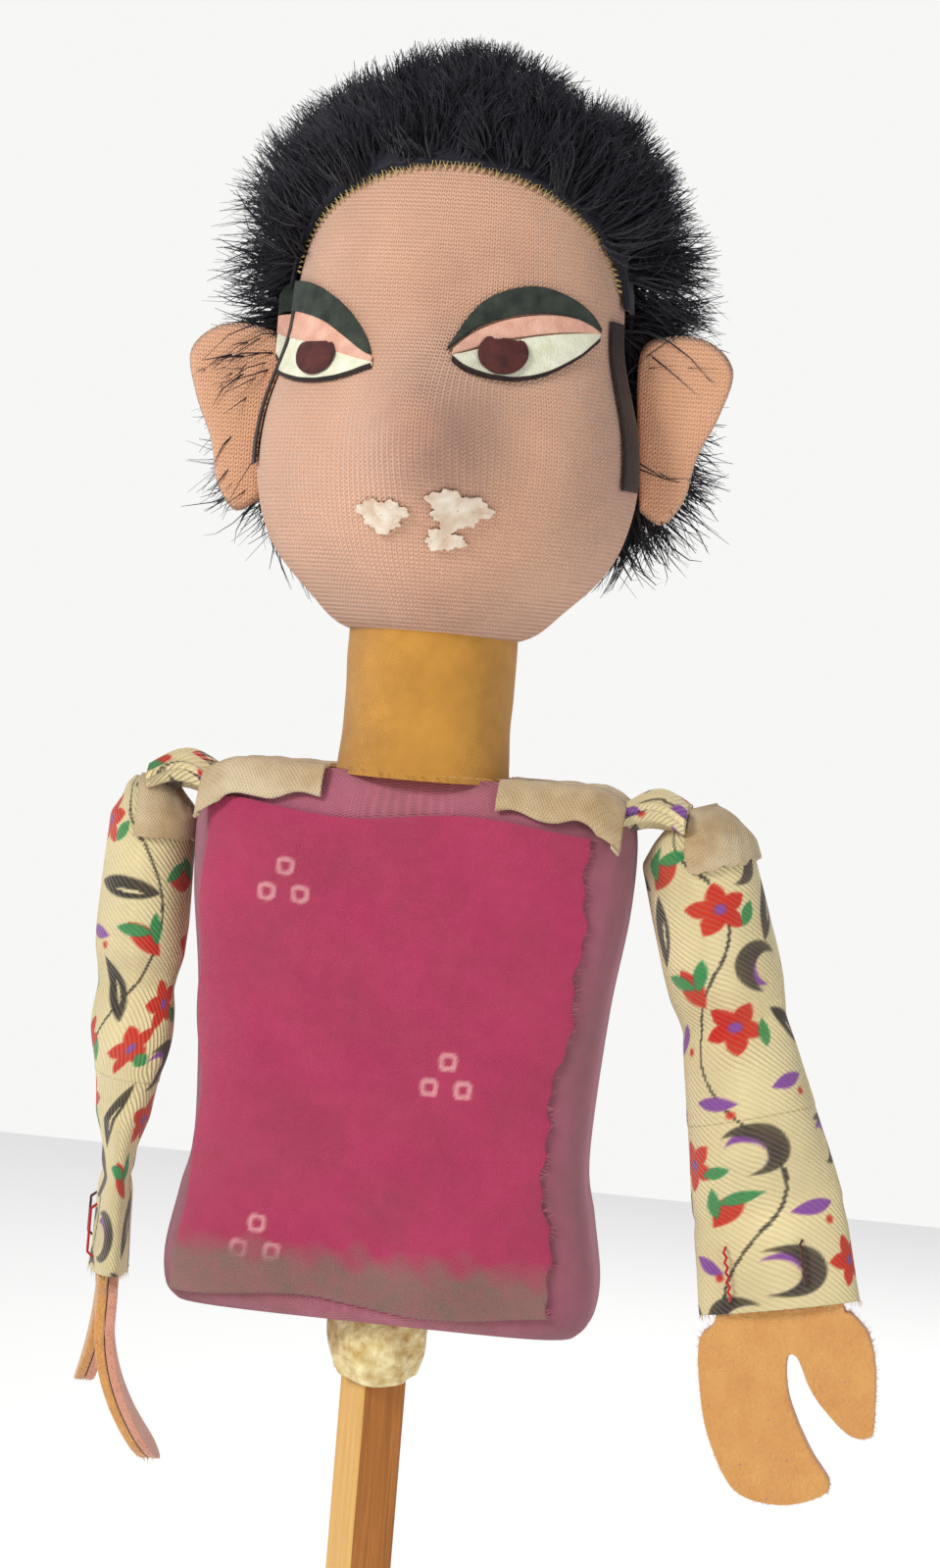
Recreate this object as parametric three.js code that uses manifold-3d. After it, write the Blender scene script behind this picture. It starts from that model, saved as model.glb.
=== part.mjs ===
// A hand-held rod puppet: a squared batten carries a foam trunk, a stuffed neck and a foam head with a knitted
// skin, and two stuffed cloth arms hang from the shoulders. Millimetres, +Z up, the face looks along -Y, and the
// origin is the middle of the batten's foot.
import * as THREE from 'three';
import * as BufferGeometryUtils from 'three/addons/utils/BufferGeometryUtils.js';
import Module from 'manifold-3d';

const wasm = await Module();
wasm.setup();

// Clearance between pieces that touch, and thicknesses of the cloths.
const GAP = 0.35;
const COTTON = 1.1;
const KNIT = 1.6;
const SLEEVE = 1.2;

// Batten.
const ROD_SIDE = 16.2;
const ROD_CORNER = 1.5;
const ROD_TURN = 35;
const ROD_TOP = 560;
const ROD_FIT = 0.5;

// Trunk: heights and half sizes of its cloth-covered outside.
const TRUNK_BOTTOM = 245;
const TRUNK_TOP = 417;
const SHOULDER_HALF = 69.5;
const WAIST_HALF = 62.5;
const HIP_HALF = 69;
const TRUNK_HALF_DEPTH = 27;
const TRUNK_SQUARENESS = 4.5;
const PANEL_LOW = 251;
const PANEL_HIGH = 404;
const PANEL_HALF = 60;

// Collar round the batten.
const COLLAR_LENGTH = 20;
const COLLAR_TOP_R = 15.5;
const COLLAR_END_R = 12.8;

// Neck.
const NECK_R = 26.8;
const NECK_IN_HEAD = 9;

// Head: heights of chin and crown, widest cheek, depth in front and behind.
const CHIN = 459;
const CROWN = 627;
const CHEEK_HALF = 60;
const FACE_DEPTH = 55;
const NAPE_DEPTH = 58;
const NOSE_OUT = 24;
const NOSE_Z = 523;
const NOSE_HALF_WIDTH = 17;
const NOSE_HALF_HEIGHT = 20;
const NOSE_PAD_R = 25;
const HEAD_SIDES = 26;
const HEAD_RINGS = 15;

// Wig.
const PILE = 21;
const HAIRLINE_Z = 611;
const TEMPLE_Z = 566;
const HAIRLINE_HALF = 53;
const NAPE_Z = 506;
const FACE_BACK = 10;

// Ears.
const EAR_THICK = 3.6;
const EAR_Y = 4;

// Arms: heights are on the trunk, lengths run down the hanging arm from the shoulder's hinge.
const SHOULDER_X = 74;
const SHOULDER_Z = 412;
const GATHER_R = 3.9;
const GATHER_WIDTH = 16;
const ELBOW_DOWN = 71;
const WRIST_DOWN = 131;
const ELBOW_SPACE = 8;
const WRIST_SPACE = 4;
const TILT_ROOM = 1;
const CUFF_LENGTH = 26;
const CUFF_HALF = 25.5;
const CUFF_HALF_DEPTH = 6.6;
const FELT = 3;
const ARM_SIDES = 18;

const sides = {
  left: { sign: 1, offset: 10.2, lean: 17.5, foreLean: -2.4, handLean: -4, width: 18, depth: 14,
    foreWidth: 22, foreDepth: 13.5, twist: 0 },
  right: { sign: -1, offset: 11.3, lean: 1.5, foreLean: 0, handLean: -1, width: 14, depth: 16,
    foreWidth: 21, foreDepth: 9, twist: 76 },
};

const colours = {
  rod: [0xdeae61, 0.7], collar: [0xd9bf73, 0.9], foam: [0xe8d9a8, 0.95], tieDye: [0xc24761, 0.9],
  fadedTieDye: [0xbd7380, 0.9], neckCotton: [0xd19438, 0.9], knit: [0xd4a180, 0.95], pile: [0x08080f, 0.9],
  eyeWhite: [0xf2f2db, 0.7], iris: [0x5c2b29, 0.7], lid: [0xebbaa6, 0.8], brow: [0x3b4038, 0.9],
  earKnit: [0xe6ab85, 0.95], sideburn: [0x2a1f1c, 0.6], rawCotton: [0xd1bd99, 0.9], sleeve: [0xe6d199, 0.9],
  palm: [0xdea35c, 0.95], handBack: [0xd99a80, 0.95], stuffing: [0xe6e0d0, 1.0],
};

const radians = THREE.MathUtils.degToRad;
const puppet = new THREE.Group();

// Bare geometry with shared corners, as a solid that can be cut and joined.
function solidOf(geometry) {
  const bare = geometry.clone();
  bare.deleteAttribute('normal');
  bare.deleteAttribute('uv');
  const merged = BufferGeometryUtils.mergeVertices(bare, 1e-4);
  return new wasm.Manifold(new wasm.Mesh({
    numProp: 3,
    vertProperties: new Float32Array(merged.attributes.position.array),
    triVerts: new Uint32Array(merged.index.array),
  }));
}

function geometryOf(solid) {
  const mesh = solid.getMesh();
  const geometry = new THREE.BufferGeometry();
  const points = new Float32Array(mesh.numVert * 3);
  for (let i = 0; i < mesh.numVert; i += 1) {
    for (let k = 0; k < 3; k += 1) points[3 * i + k] = mesh.vertProperties[mesh.numProp * i + k];
  }
  geometry.setAttribute('position', new THREE.BufferAttribute(points, 3));
  geometry.setIndex(Array.from(mesh.triVerts));
  return geometry;
}

// Keeps the largest body of a solid, where a cut leaves crumbs.
function mainBody(solid) {
  const bodies = solid.decompose();
  bodies.sort((a, b) => b.volume() - a.volume());
  return bodies[0];
}

function addPiece(name, geometry, colour, group = puppet) {
  const [hex, roughness] = colours[colour];
  const material = new THREE.MeshStandardMaterial({ color: hex, roughness, metalness: 0 });
  const mesh = new THREE.Mesh(geometry, material);
  mesh.name = name;
  group.add(mesh);
  return mesh;
}

// A closed solid through a stack of rings, flat at both ends.
function loft(rings) {
  const count = rings[0].length;
  const points = [];
  for (const ring of rings) for (const p of ring) points.push(p.x, p.y, p.z);
  const index = [];
  for (let r = 0; r + 1 < rings.length; r += 1) {
    for (let i = 0; i < count; i += 1) {
      const a = r * count + i;
      const b = r * count + ((i + 1) % count);
      index.push(a, b, b + count, a, b + count, a + count);
    }
  }
  for (const [base, flip] of [[0, true], [(rings.length - 1) * count, false]]) {
    const middle = new THREE.Vector3();
    for (let i = 0; i < count; i += 1) {
      middle.add(new THREE.Vector3(points[3 * (base + i)], points[3 * (base + i) + 1], points[3 * (base + i) + 2]));
    }
    middle.divideScalar(count);
    points.push(middle.x, middle.y, middle.z);
    const centre = points.length / 3 - 1;
    for (let i = 0; i < count; i += 1) {
      const a = base + i;
      const b = base + ((i + 1) % count);
      index.push(...(flip ? [centre, b, a] : [centre, a, b]));
    }
  }
  const geometry = new THREE.BufferGeometry();
  geometry.setAttribute('position', new THREE.Float32BufferAttribute(points, 3));
  geometry.setIndex(index);
  return geometry;
}

// A rounded-square or oval ring: halves a and b, squareness 2 for an ellipse, turned about Z.
function ring(z, a, b, squareness, count, cx = 0, cy = 0, turn = 0) {
  const points = [];
  const c = Math.cos(radians(turn));
  const s = Math.sin(radians(turn));
  for (let i = 0; i < count; i += 1) {
    const t = (2 * Math.PI * i) / count;
    const u = a * Math.sign(Math.cos(t)) * Math.abs(Math.cos(t)) ** (2 / squareness);
    const v = b * Math.sign(Math.sin(t)) * Math.abs(Math.sin(t)) ** (2 / squareness);
    points.push(new THREE.Vector3(cx + u * c - v * s, cy + u * s + v * c, z));
  }
  return points;
}

function cylinderAlongZ(r, z0, z1, count = 28) {
  return solidOf(loft([ring(z0, r, r, 2, count), ring(z1, r, r, 2, count)]));
}

function box(x0, x1, y0, y1, z0, z1) {
  const geometry = new THREE.BoxGeometry(x1 - x0, y1 - y0, z1 - z0);
  geometry.translate((x0 + x1) / 2, (y0 + y1) / 2, (z0 + z1) / 2);
  return solidOf(geometry);
}

// A flat outline in the XZ plane, pushed through from y0 to y1.
function plateXZ(shape, y0, y1, steps = 10) {
  const geometry = new THREE.ExtrudeGeometry(shape, { depth: y1 - y0, bevelEnabled: false, curveSegments: steps });
  geometry.rotateX(Math.PI / 2);
  geometry.translate(0, y1, 0);
  return solidOf(geometry);
}

function splineShape(points, steps = 40) {
  const curve = new THREE.CatmullRomCurve3(points.map(([x, z]) => new THREE.Vector3(x, z, 0)), true, 'centripetal');
  return new THREE.Shape(curve.getPoints(steps).slice(0, steps).map((p) => new THREE.Vector2(p.x, p.y)));
}

// The batten and its bore.
function batten(side, corner, z0, z1) {
  const shape = new THREE.Shape();
  const h = side / 2;
  shape.moveTo(-h + corner, -h);
  shape.lineTo(h - corner, -h);
  shape.absarc(h - corner, -h + corner, corner, -Math.PI / 2, 0);
  shape.absarc(h - corner, h - corner, corner, 0, Math.PI / 2);
  shape.absarc(-h + corner, h - corner, corner, Math.PI / 2, Math.PI);
  shape.absarc(-h + corner, -h + corner, corner, Math.PI, 1.5 * Math.PI);
  const geometry = new THREE.ExtrudeGeometry(shape, { depth: z1 - z0, bevelEnabled: false, curveSegments: 3 });
  geometry.rotateZ(radians(ROD_TURN));
  geometry.translate(0, 0, z0);
  return geometry;
}
const bore = (z0, z1) => solidOf(batten(ROD_SIDE + 2 * ROD_FIT, ROD_CORNER, z0, z1));
addPiece('main_rod', batten(ROD_SIDE, ROD_CORNER, 0, ROD_TOP), 'rod');

const collarTop = TRUNK_BOTTOM - GAP;
const collarRings = [
  ring(collarTop - COLLAR_LENGTH, COLLAR_END_R, COLLAR_END_R, 2, 20),
  ring(collarTop - COLLAR_LENGTH * 0.6, COLLAR_TOP_R - 1.4, COLLAR_TOP_R - 1.4, 2, 20),
  ring(collarTop - COLLAR_LENGTH * 0.3, COLLAR_TOP_R + 0.5, COLLAR_TOP_R + 0.5, 2, 20),
  ring(collarTop, COLLAR_TOP_R, COLLAR_TOP_R, 2, 20),
];
const collar = solidOf(loft(collarRings)).subtract(bore(collarTop - COLLAR_LENGTH - 1, collarTop + 1));
addPiece('rod_collar', geometryOf(collar), 'collar');

// Trunk, as its outside moved in by an inset.
function trunk(inset) {
  const rows = [
    [TRUNK_BOTTOM, HIP_HALF - 5, TRUNK_HALF_DEPTH - 4],
    [TRUNK_BOTTOM + 5, HIP_HALF - 1, TRUNK_HALF_DEPTH - 1],
    [TRUNK_BOTTOM + 17, HIP_HALF, TRUNK_HALF_DEPTH],
    [TRUNK_BOTTOM + 36, (HIP_HALF + WAIST_HALF) / 2, TRUNK_HALF_DEPTH - 0.3],
    [TRUNK_BOTTOM + 55, WAIST_HALF, TRUNK_HALF_DEPTH - 0.5],
    [TRUNK_TOP - 72, (WAIST_HALF + SHOULDER_HALF) / 2 - 1, TRUNK_HALF_DEPTH],
    [TRUNK_TOP - 40, SHOULDER_HALF - 0.5, TRUNK_HALF_DEPTH],
    [TRUNK_TOP - 17, SHOULDER_HALF, TRUNK_HALF_DEPTH - 0.5],
    [TRUNK_TOP - 7, SHOULDER_HALF - 3, TRUNK_HALF_DEPTH - 3],
    [TRUNK_TOP, SHOULDER_HALF - 11, TRUNK_HALF_DEPTH - 9],
  ];
  const heights = (z) => THREE.MathUtils.clamp(z, TRUNK_BOTTOM + inset, TRUNK_TOP - inset);
  return solidOf(loft(rows.map(([z, a, b]) => ring(heights(z), a - inset, b - inset, TRUNK_SQUARENESS, 32))));
}
const neckHole = (z0, z1) => cylinderAlongZ(NECK_R + GAP, z0, z1);
const panelStack = COTTON + GAP;
const trunkCore = trunk(2 * COTTON + 2 * GAP).subtract(bore(TRUNK_BOTTOM - 5, TRUNK_TOP + 5));
addPiece('trunk_core', geometryOf(trunkCore), 'foam');
const band = trunk(panelStack)
  .subtract(trunk(panelStack + COTTON))
  .subtract(neckHole(TRUNK_TOP - 20, TRUNK_TOP + 5))
  .subtract(cylinderAlongZ(COLLAR_TOP_R - 2, TRUNK_BOTTOM - 5, TRUNK_BOTTOM + 20));
addPiece('trunk_side_band', geometryOf(mainBody(band)), 'fadedTieDye');

const panelShape = splineShape([
  [-PANEL_HALF - 4, PANEL_LOW + 6], [-PANEL_HALF, PANEL_LOW + 55], [-PANEL_HALF - 6, PANEL_HIGH - 10],
  [-PANEL_HALF + 6, PANEL_HIGH], [0, PANEL_HIGH - 2], [PANEL_HALF - 8, PANEL_HIGH - 6],
  [PANEL_HALF - 2, PANEL_HIGH - 20], [PANEL_HALF - 8, PANEL_LOW + 55], [PANEL_HALF - 1, PANEL_LOW + 8],
  [PANEL_HALF - 8, PANEL_LOW], [0, PANEL_LOW + 3],
]);
const panelLayer = trunk(0).subtract(trunk(COTTON));
const frontPanel = panelLayer.intersect(plateXZ(panelShape, -TRUNK_HALF_DEPTH - 5, -8));
const backPanel = panelLayer.intersect(plateXZ(panelShape, 8, TRUNK_HALF_DEPTH + 5));
addPiece('trunk_front_panel', geometryOf(mainBody(frontPanel)), 'tieDye');
addPiece('trunk_back_panel', geometryOf(mainBody(backPanel)), 'tieDye');

// Head, as its outside moved out by an offset, with or without the nose.
function headSolid(offset, nose) {
  const span = CROWN - CHIN;
  const widthAt = new THREE.CatmullRomCurve3([
    [0, 0], [0.45, 0.012], [0.68, 0.075], [0.9, 0.165], [1.0, 0.28], [0.99, 0.4], [0.88, 0.55], [0.85, 0.68],
    [0.75, 0.83], [0.5, 0.945], [0, 1],
  ].map(([w, h]) => new THREE.Vector3(w, h, 0)), false, 'centripetal').getPoints(HEAD_RINGS);
  const frontShare = (h) => 1 - 0.12 * THREE.MathUtils.smoothstep(h, 0.45, 0.6);
  const points = [];
  const push = (w, h, angle) => {
    const x = CHEEK_HALF * w * Math.cos(angle);
    const deep = Math.sin(angle) < 0 ? FACE_DEPTH * frontShare(h) : NAPE_DEPTH * (0.9 + 0.1 * Math.min(1, h * 2));
    let y = deep * w * Math.sin(angle);
    const z = CHIN + span * h;
    if (y < 0) {
      const d = (x / NOSE_HALF_WIDTH) ** 2 + ((z - NOSE_Z) / NOSE_HALF_HEIGHT) ** 2;
      y -= nose * Math.exp(-0.7 * d);
    }
    points.push(new THREE.Vector3(x, y, z));
  };
  push(0, 0, 0);
  for (let r = 1; r < HEAD_RINGS; r += 1) {
    for (let i = 0; i < HEAD_SIDES; i += 1) {
      push(widthAt[r].x, widthAt[r].y, (2 * Math.PI * i) / HEAD_SIDES);
    }
  }
  push(0, 1, 0);
  const index = [];
  const at = (r, i) => 1 + (r - 1) * HEAD_SIDES + (i % HEAD_SIDES);
  const top = points.length - 1;
  for (let i = 0; i < HEAD_SIDES; i += 1) {
    index.push(0, at(1, i + 1), at(1, i));
    index.push(top, at(HEAD_RINGS - 1, i), at(HEAD_RINGS - 1, i + 1));
    for (let r = 1; r + 1 < HEAD_RINGS; r += 1) {
      index.push(at(r, i), at(r, i + 1), at(r + 1, i + 1));
      index.push(at(r, i), at(r + 1, i + 1), at(r + 1, i));
    }
  }
  const geometry = new THREE.BufferGeometry();
  geometry.setAttribute('position', new THREE.Float32BufferAttribute(points.flatMap((p) => [p.x, p.y, p.z]), 3));
  geometry.setIndex(index);
  geometry.computeVertexNormals();
  const normal = geometry.attributes.normal;
  const position = geometry.attributes.position;
  for (let i = 0; i < position.count; i += 1) {
    position.setXYZ(i, position.getX(i) + offset * normal.getX(i), position.getY(i) + offset * normal.getY(i),
      position.getZ(i) + offset * normal.getZ(i));
  }
  return solidOf(geometry);
}
const skinIn = -KNIT;
const underSkin = skinIn - GAP;
const coreIn = underSkin;
const neckTop = CHIN + NECK_IN_HEAD;
const neckSocket = neckHole(CHIN - 5, neckTop + GAP);
const skinMouth = neckHole(CHIN - 5, CHIN + 12);
const head = headSolid(0, NOSE_OUT);
const skin = head.subtract(headSolid(skinIn, NOSE_OUT)).subtract(skinMouth);
addPiece('head_skin', geometryOf(mainBody(skin)), 'knit');
const headBlank = headSolid(coreIn, 0);
const headCore = headBlank.subtract(bore(CHIN - 5, ROD_TOP + GAP)).subtract(neckSocket);
addPiece('head_core', geometryOf(mainBody(headCore)), 'foam');
const noseRound = new THREE.CylinderGeometry(NOSE_PAD_R, NOSE_PAD_R, 90, 32);
noseRound.translate(0, -45, NOSE_Z);
const nosePad = headSolid(underSkin, NOSE_OUT)
  .subtract(headSolid(coreIn + GAP, 0))
  .intersect(solidOf(noseRound));
addPiece('nose_pad', geometryOf(mainBody(nosePad)), 'stuffing');

// Neck: stuffing and its cotton cover, both bored for the batten.
const neckStuffing = cylinderAlongZ(NECK_R - COTTON - GAP, TRUNK_TOP - 1, neckTop)
  .subtract(bore(TRUNK_TOP - 5, neckTop + 5));
const neckFloor = TRUNK_TOP - 2 * COTTON - GAP;
addPiece('neck_stuffing', geometryOf(neckStuffing), 'stuffing');
const neckCover = cylinderAlongZ(NECK_R, neckFloor, neckTop)
  .subtract(cylinderAlongZ(NECK_R - COTTON, neckFloor - 1, neckTop + 1));
addPiece('neck_cover', geometryOf(neckCover), 'neckCotton');

// Pieces glued to the face: a layer of the head's outside, cut by an outline seen from in front.
function faceLayer(low, high) {
  return headSolid(high, NOSE_OUT).subtract(headSolid(low, NOSE_OUT));
}
const firstLayer = faceLayer(GAP, GAP + 0.9);
const secondLayer = faceLayer(2 * GAP + 0.9, 2 * GAP + 1.7);
const inFront = (shape) => plateXZ(shape, -120, -5);
const eyeOutlines = {
  left: {
    white: [[9, 549], [20, 554], [36, 557], [53, 554], [47, 549], [36, 541], [25, 540], [15, 542]],
    lid: [[9, 551.5], [18, 558], [33, 562], [48, 560], [52, 556.5], [36, 559.2], [20, 556.2]],
    brow: [[10, 560], [18, 568], [33, 575], [46, 568], [51, 562], [45, 563.5], [33, 565.5], [21, 562]],
    iris: [25, 548.5, 8, 6.2],
  },
  right: {
    white: [[-11, 550], [-28, 555], [-47, 555], [-41, 549], [-30, 542.5], [-20, 542.5], [-12, 546]],
    lid: [[-11, 552.5], [-24, 557.5], [-40, 558], [-46, 560], [-36, 563.5], [-22, 562.5]],
    brow: [[-12, 557], [-20, 566], [-34, 578], [-47, 567], [-42, 563], [-34, 566.5], [-22, 563.5]],
    iris: [-30, 549, 5.7, 4.8],
  },
};
for (const [side, outline] of Object.entries(eyeOutlines)) {
  const white = inFront(splineShape(outline.white, 28));
  addPiece(`${side}_eye_white`, geometryOf(mainBody(firstLayer.intersect(white))), 'eyeWhite');
  const [x, z, a, b] = outline.iris;
  const irisShape = new THREE.Shape();
  irisShape.absellipse(x, z, a, b, 0, 2 * Math.PI, false, 0);
  const iris = secondLayer.intersect(inFront(irisShape)).intersect(white);
  addPiece(`${side}_iris`, geometryOf(mainBody(iris)), 'iris');
  const whiteEdge = splineShape(outline.white.map(([px, pz]) => [px, pz + 0.8]), 28);
  const lid = firstLayer.intersect(inFront(splineShape(outline.lid, 24))).subtract(white)
    .subtract(inFront(whiteEdge));
  addPiece(`${side}_eyelid`, geometryOf(mainBody(lid)), 'lid');
  const lidEdge = splineShape(outline.lid.map(([px, pz]) => [px, pz + 0.8]), 24);
  const brow = firstLayer.intersect(inFront(splineShape(outline.brow, 28)))
    .subtract(inFront(splineShape(outline.lid, 24))).subtract(inFront(lidEdge)).subtract(white);
  addPiece(`${side}_brow`, geometryOf(mainBody(brow)), 'brow');
}

// Ears, cut to the side of the head, and the dark strips in front of them.
const headClear = headSolid(GAP, NOSE_OUT);
const earOutline = [[56, 556], [66, 560], [78, 560], [86, 552], [84, 537], [78, 524], [75, 510], [69, 501],
  [58, 505], [54, 530]];
for (const [side, sign] of [['left', 1], ['right', -1]]) {
  const shape = splineShape(earOutline.map(([x, z]) => [sign * x, z]), 36);
  const ear = plateXZ(shape, EAR_Y, EAR_Y + EAR_THICK).subtract(headClear);
  addPiece(`${side}_ear`, geometryOf(mainBody(ear)), 'earKnit');
  const reach = [sign * 40, sign * 75].sort((a, b) => a - b);
  const strip = firstLayer.intersect(box(reach[0], reach[1], EAR_Y - 9, EAR_Y - 3, 510, 560));
  addPiece(`${side}_sideburn`, geometryOf(mainBody(strip)), 'sideburn');
}

// Wig: the pile's outer shape over the skull, open for the face and the ears.
const archTop = HAIRLINE_Z - TEMPLE_Z;
const faceOpening = new THREE.Shape();
faceOpening.moveTo(-130, 380);
faceOpening.lineTo(130, 380);
faceOpening.lineTo(130, TEMPLE_Z);
faceOpening.lineTo(HAIRLINE_HALF, TEMPLE_Z);
faceOpening.absellipse(0, TEMPLE_Z, HAIRLINE_HALF, archTop, 0, Math.PI, false, 0);
faceOpening.lineTo(-130, TEMPLE_Z);
const wig = headSolid(PILE, 0)
  .subtract(headClear)
  .subtract(plateXZ(faceOpening, -130, FACE_BACK))
  .subtract(box(-130, 130, -130, 130, 380, NAPE_Z));
addPiece('wig', geometryOf(mainBody(wig)), 'pile');

// Raw strips glued over the shoulders of the trunk.
const stripLayer = trunk(-GAP - COTTON).subtract(trunk(-GAP));
for (const [side, sign] of [['left', 1], ['right', -1]]) {
  const reach = [sign * (NECK_R + 2), sign * (SHOULDER_X - GATHER_R - 2)].sort((a, b) => a - b);
  const strip = stripLayer.intersect(box(reach[0], reach[1], -TRUNK_HALF_DEPTH - 3, TRUNK_HALF_DEPTH + 3,
    TRUNK_TOP - 14, TRUNK_TOP + 5));
  addPiece(`${side}_shoulder_strip`, geometryOf(mainBody(strip)), 'rawCotton');
}

// A stuffed stretch of arm between two distances down from the shoulder's hinge.
function armLoft(rows, inset) {
  return solidOf(loft(rows.map(([down, cx, a, b, turn]) => ring(-down, a - inset, b - inset, 2.4, ARM_SIDES,
    cx, 0, turn)).reverse()));
}

// The sleeve's cloth as an open tube, and the stuffing that fills it.
function sleeveAndStuffing(rows) {
  const [first, last] = [rows[0], rows[rows.length - 1]];
  const longer = [[first[0] - 1, ...first.slice(1)], ...rows, [last[0] + 1, ...last.slice(1)]];
  const shorter = [[first[0] + 1, ...first.slice(1)], ...rows.slice(1, -1), [last[0] - 1, ...last.slice(1)]];
  return {
    sleeve: armLoft(rows, 0).subtract(armLoft(longer, SLEEVE)),
    stuffing: armLoft(shorter, SLEEVE + GAP),
  };
}

// The hand's outline, hung from the wrist: a mitten of four fingers in one, a notch, and a thumb.
function handShape(sign) {
  const shape = new THREE.Shape();
  const p = ([x, z]) => new THREE.Vector2(sign * x, z);
  const spline = (list) => shape.splineThru(list.map(p));
  shape.moveTo(sign * -17, -8);
  shape.lineTo(sign * -20, -31);
  spline([[-26, -38], [-27.5, -55], [-26, -70], [-20, -85], [-8, -90.5], [4, -90], [10, -86]]);
  spline([[5.5, -76], [2, -66], [0, -56], [1, -46], [4, -46], [7, -56], [11.5, -64], [18, -71.5]]);
  spline([[24.5, -72], [26.5, -64], [28, -52], [27, -41], [22.5, -34]]);
  shape.lineTo(sign * 20, -31);
  shape.lineTo(sign * 17, -8);
  return shape;
}

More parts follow.
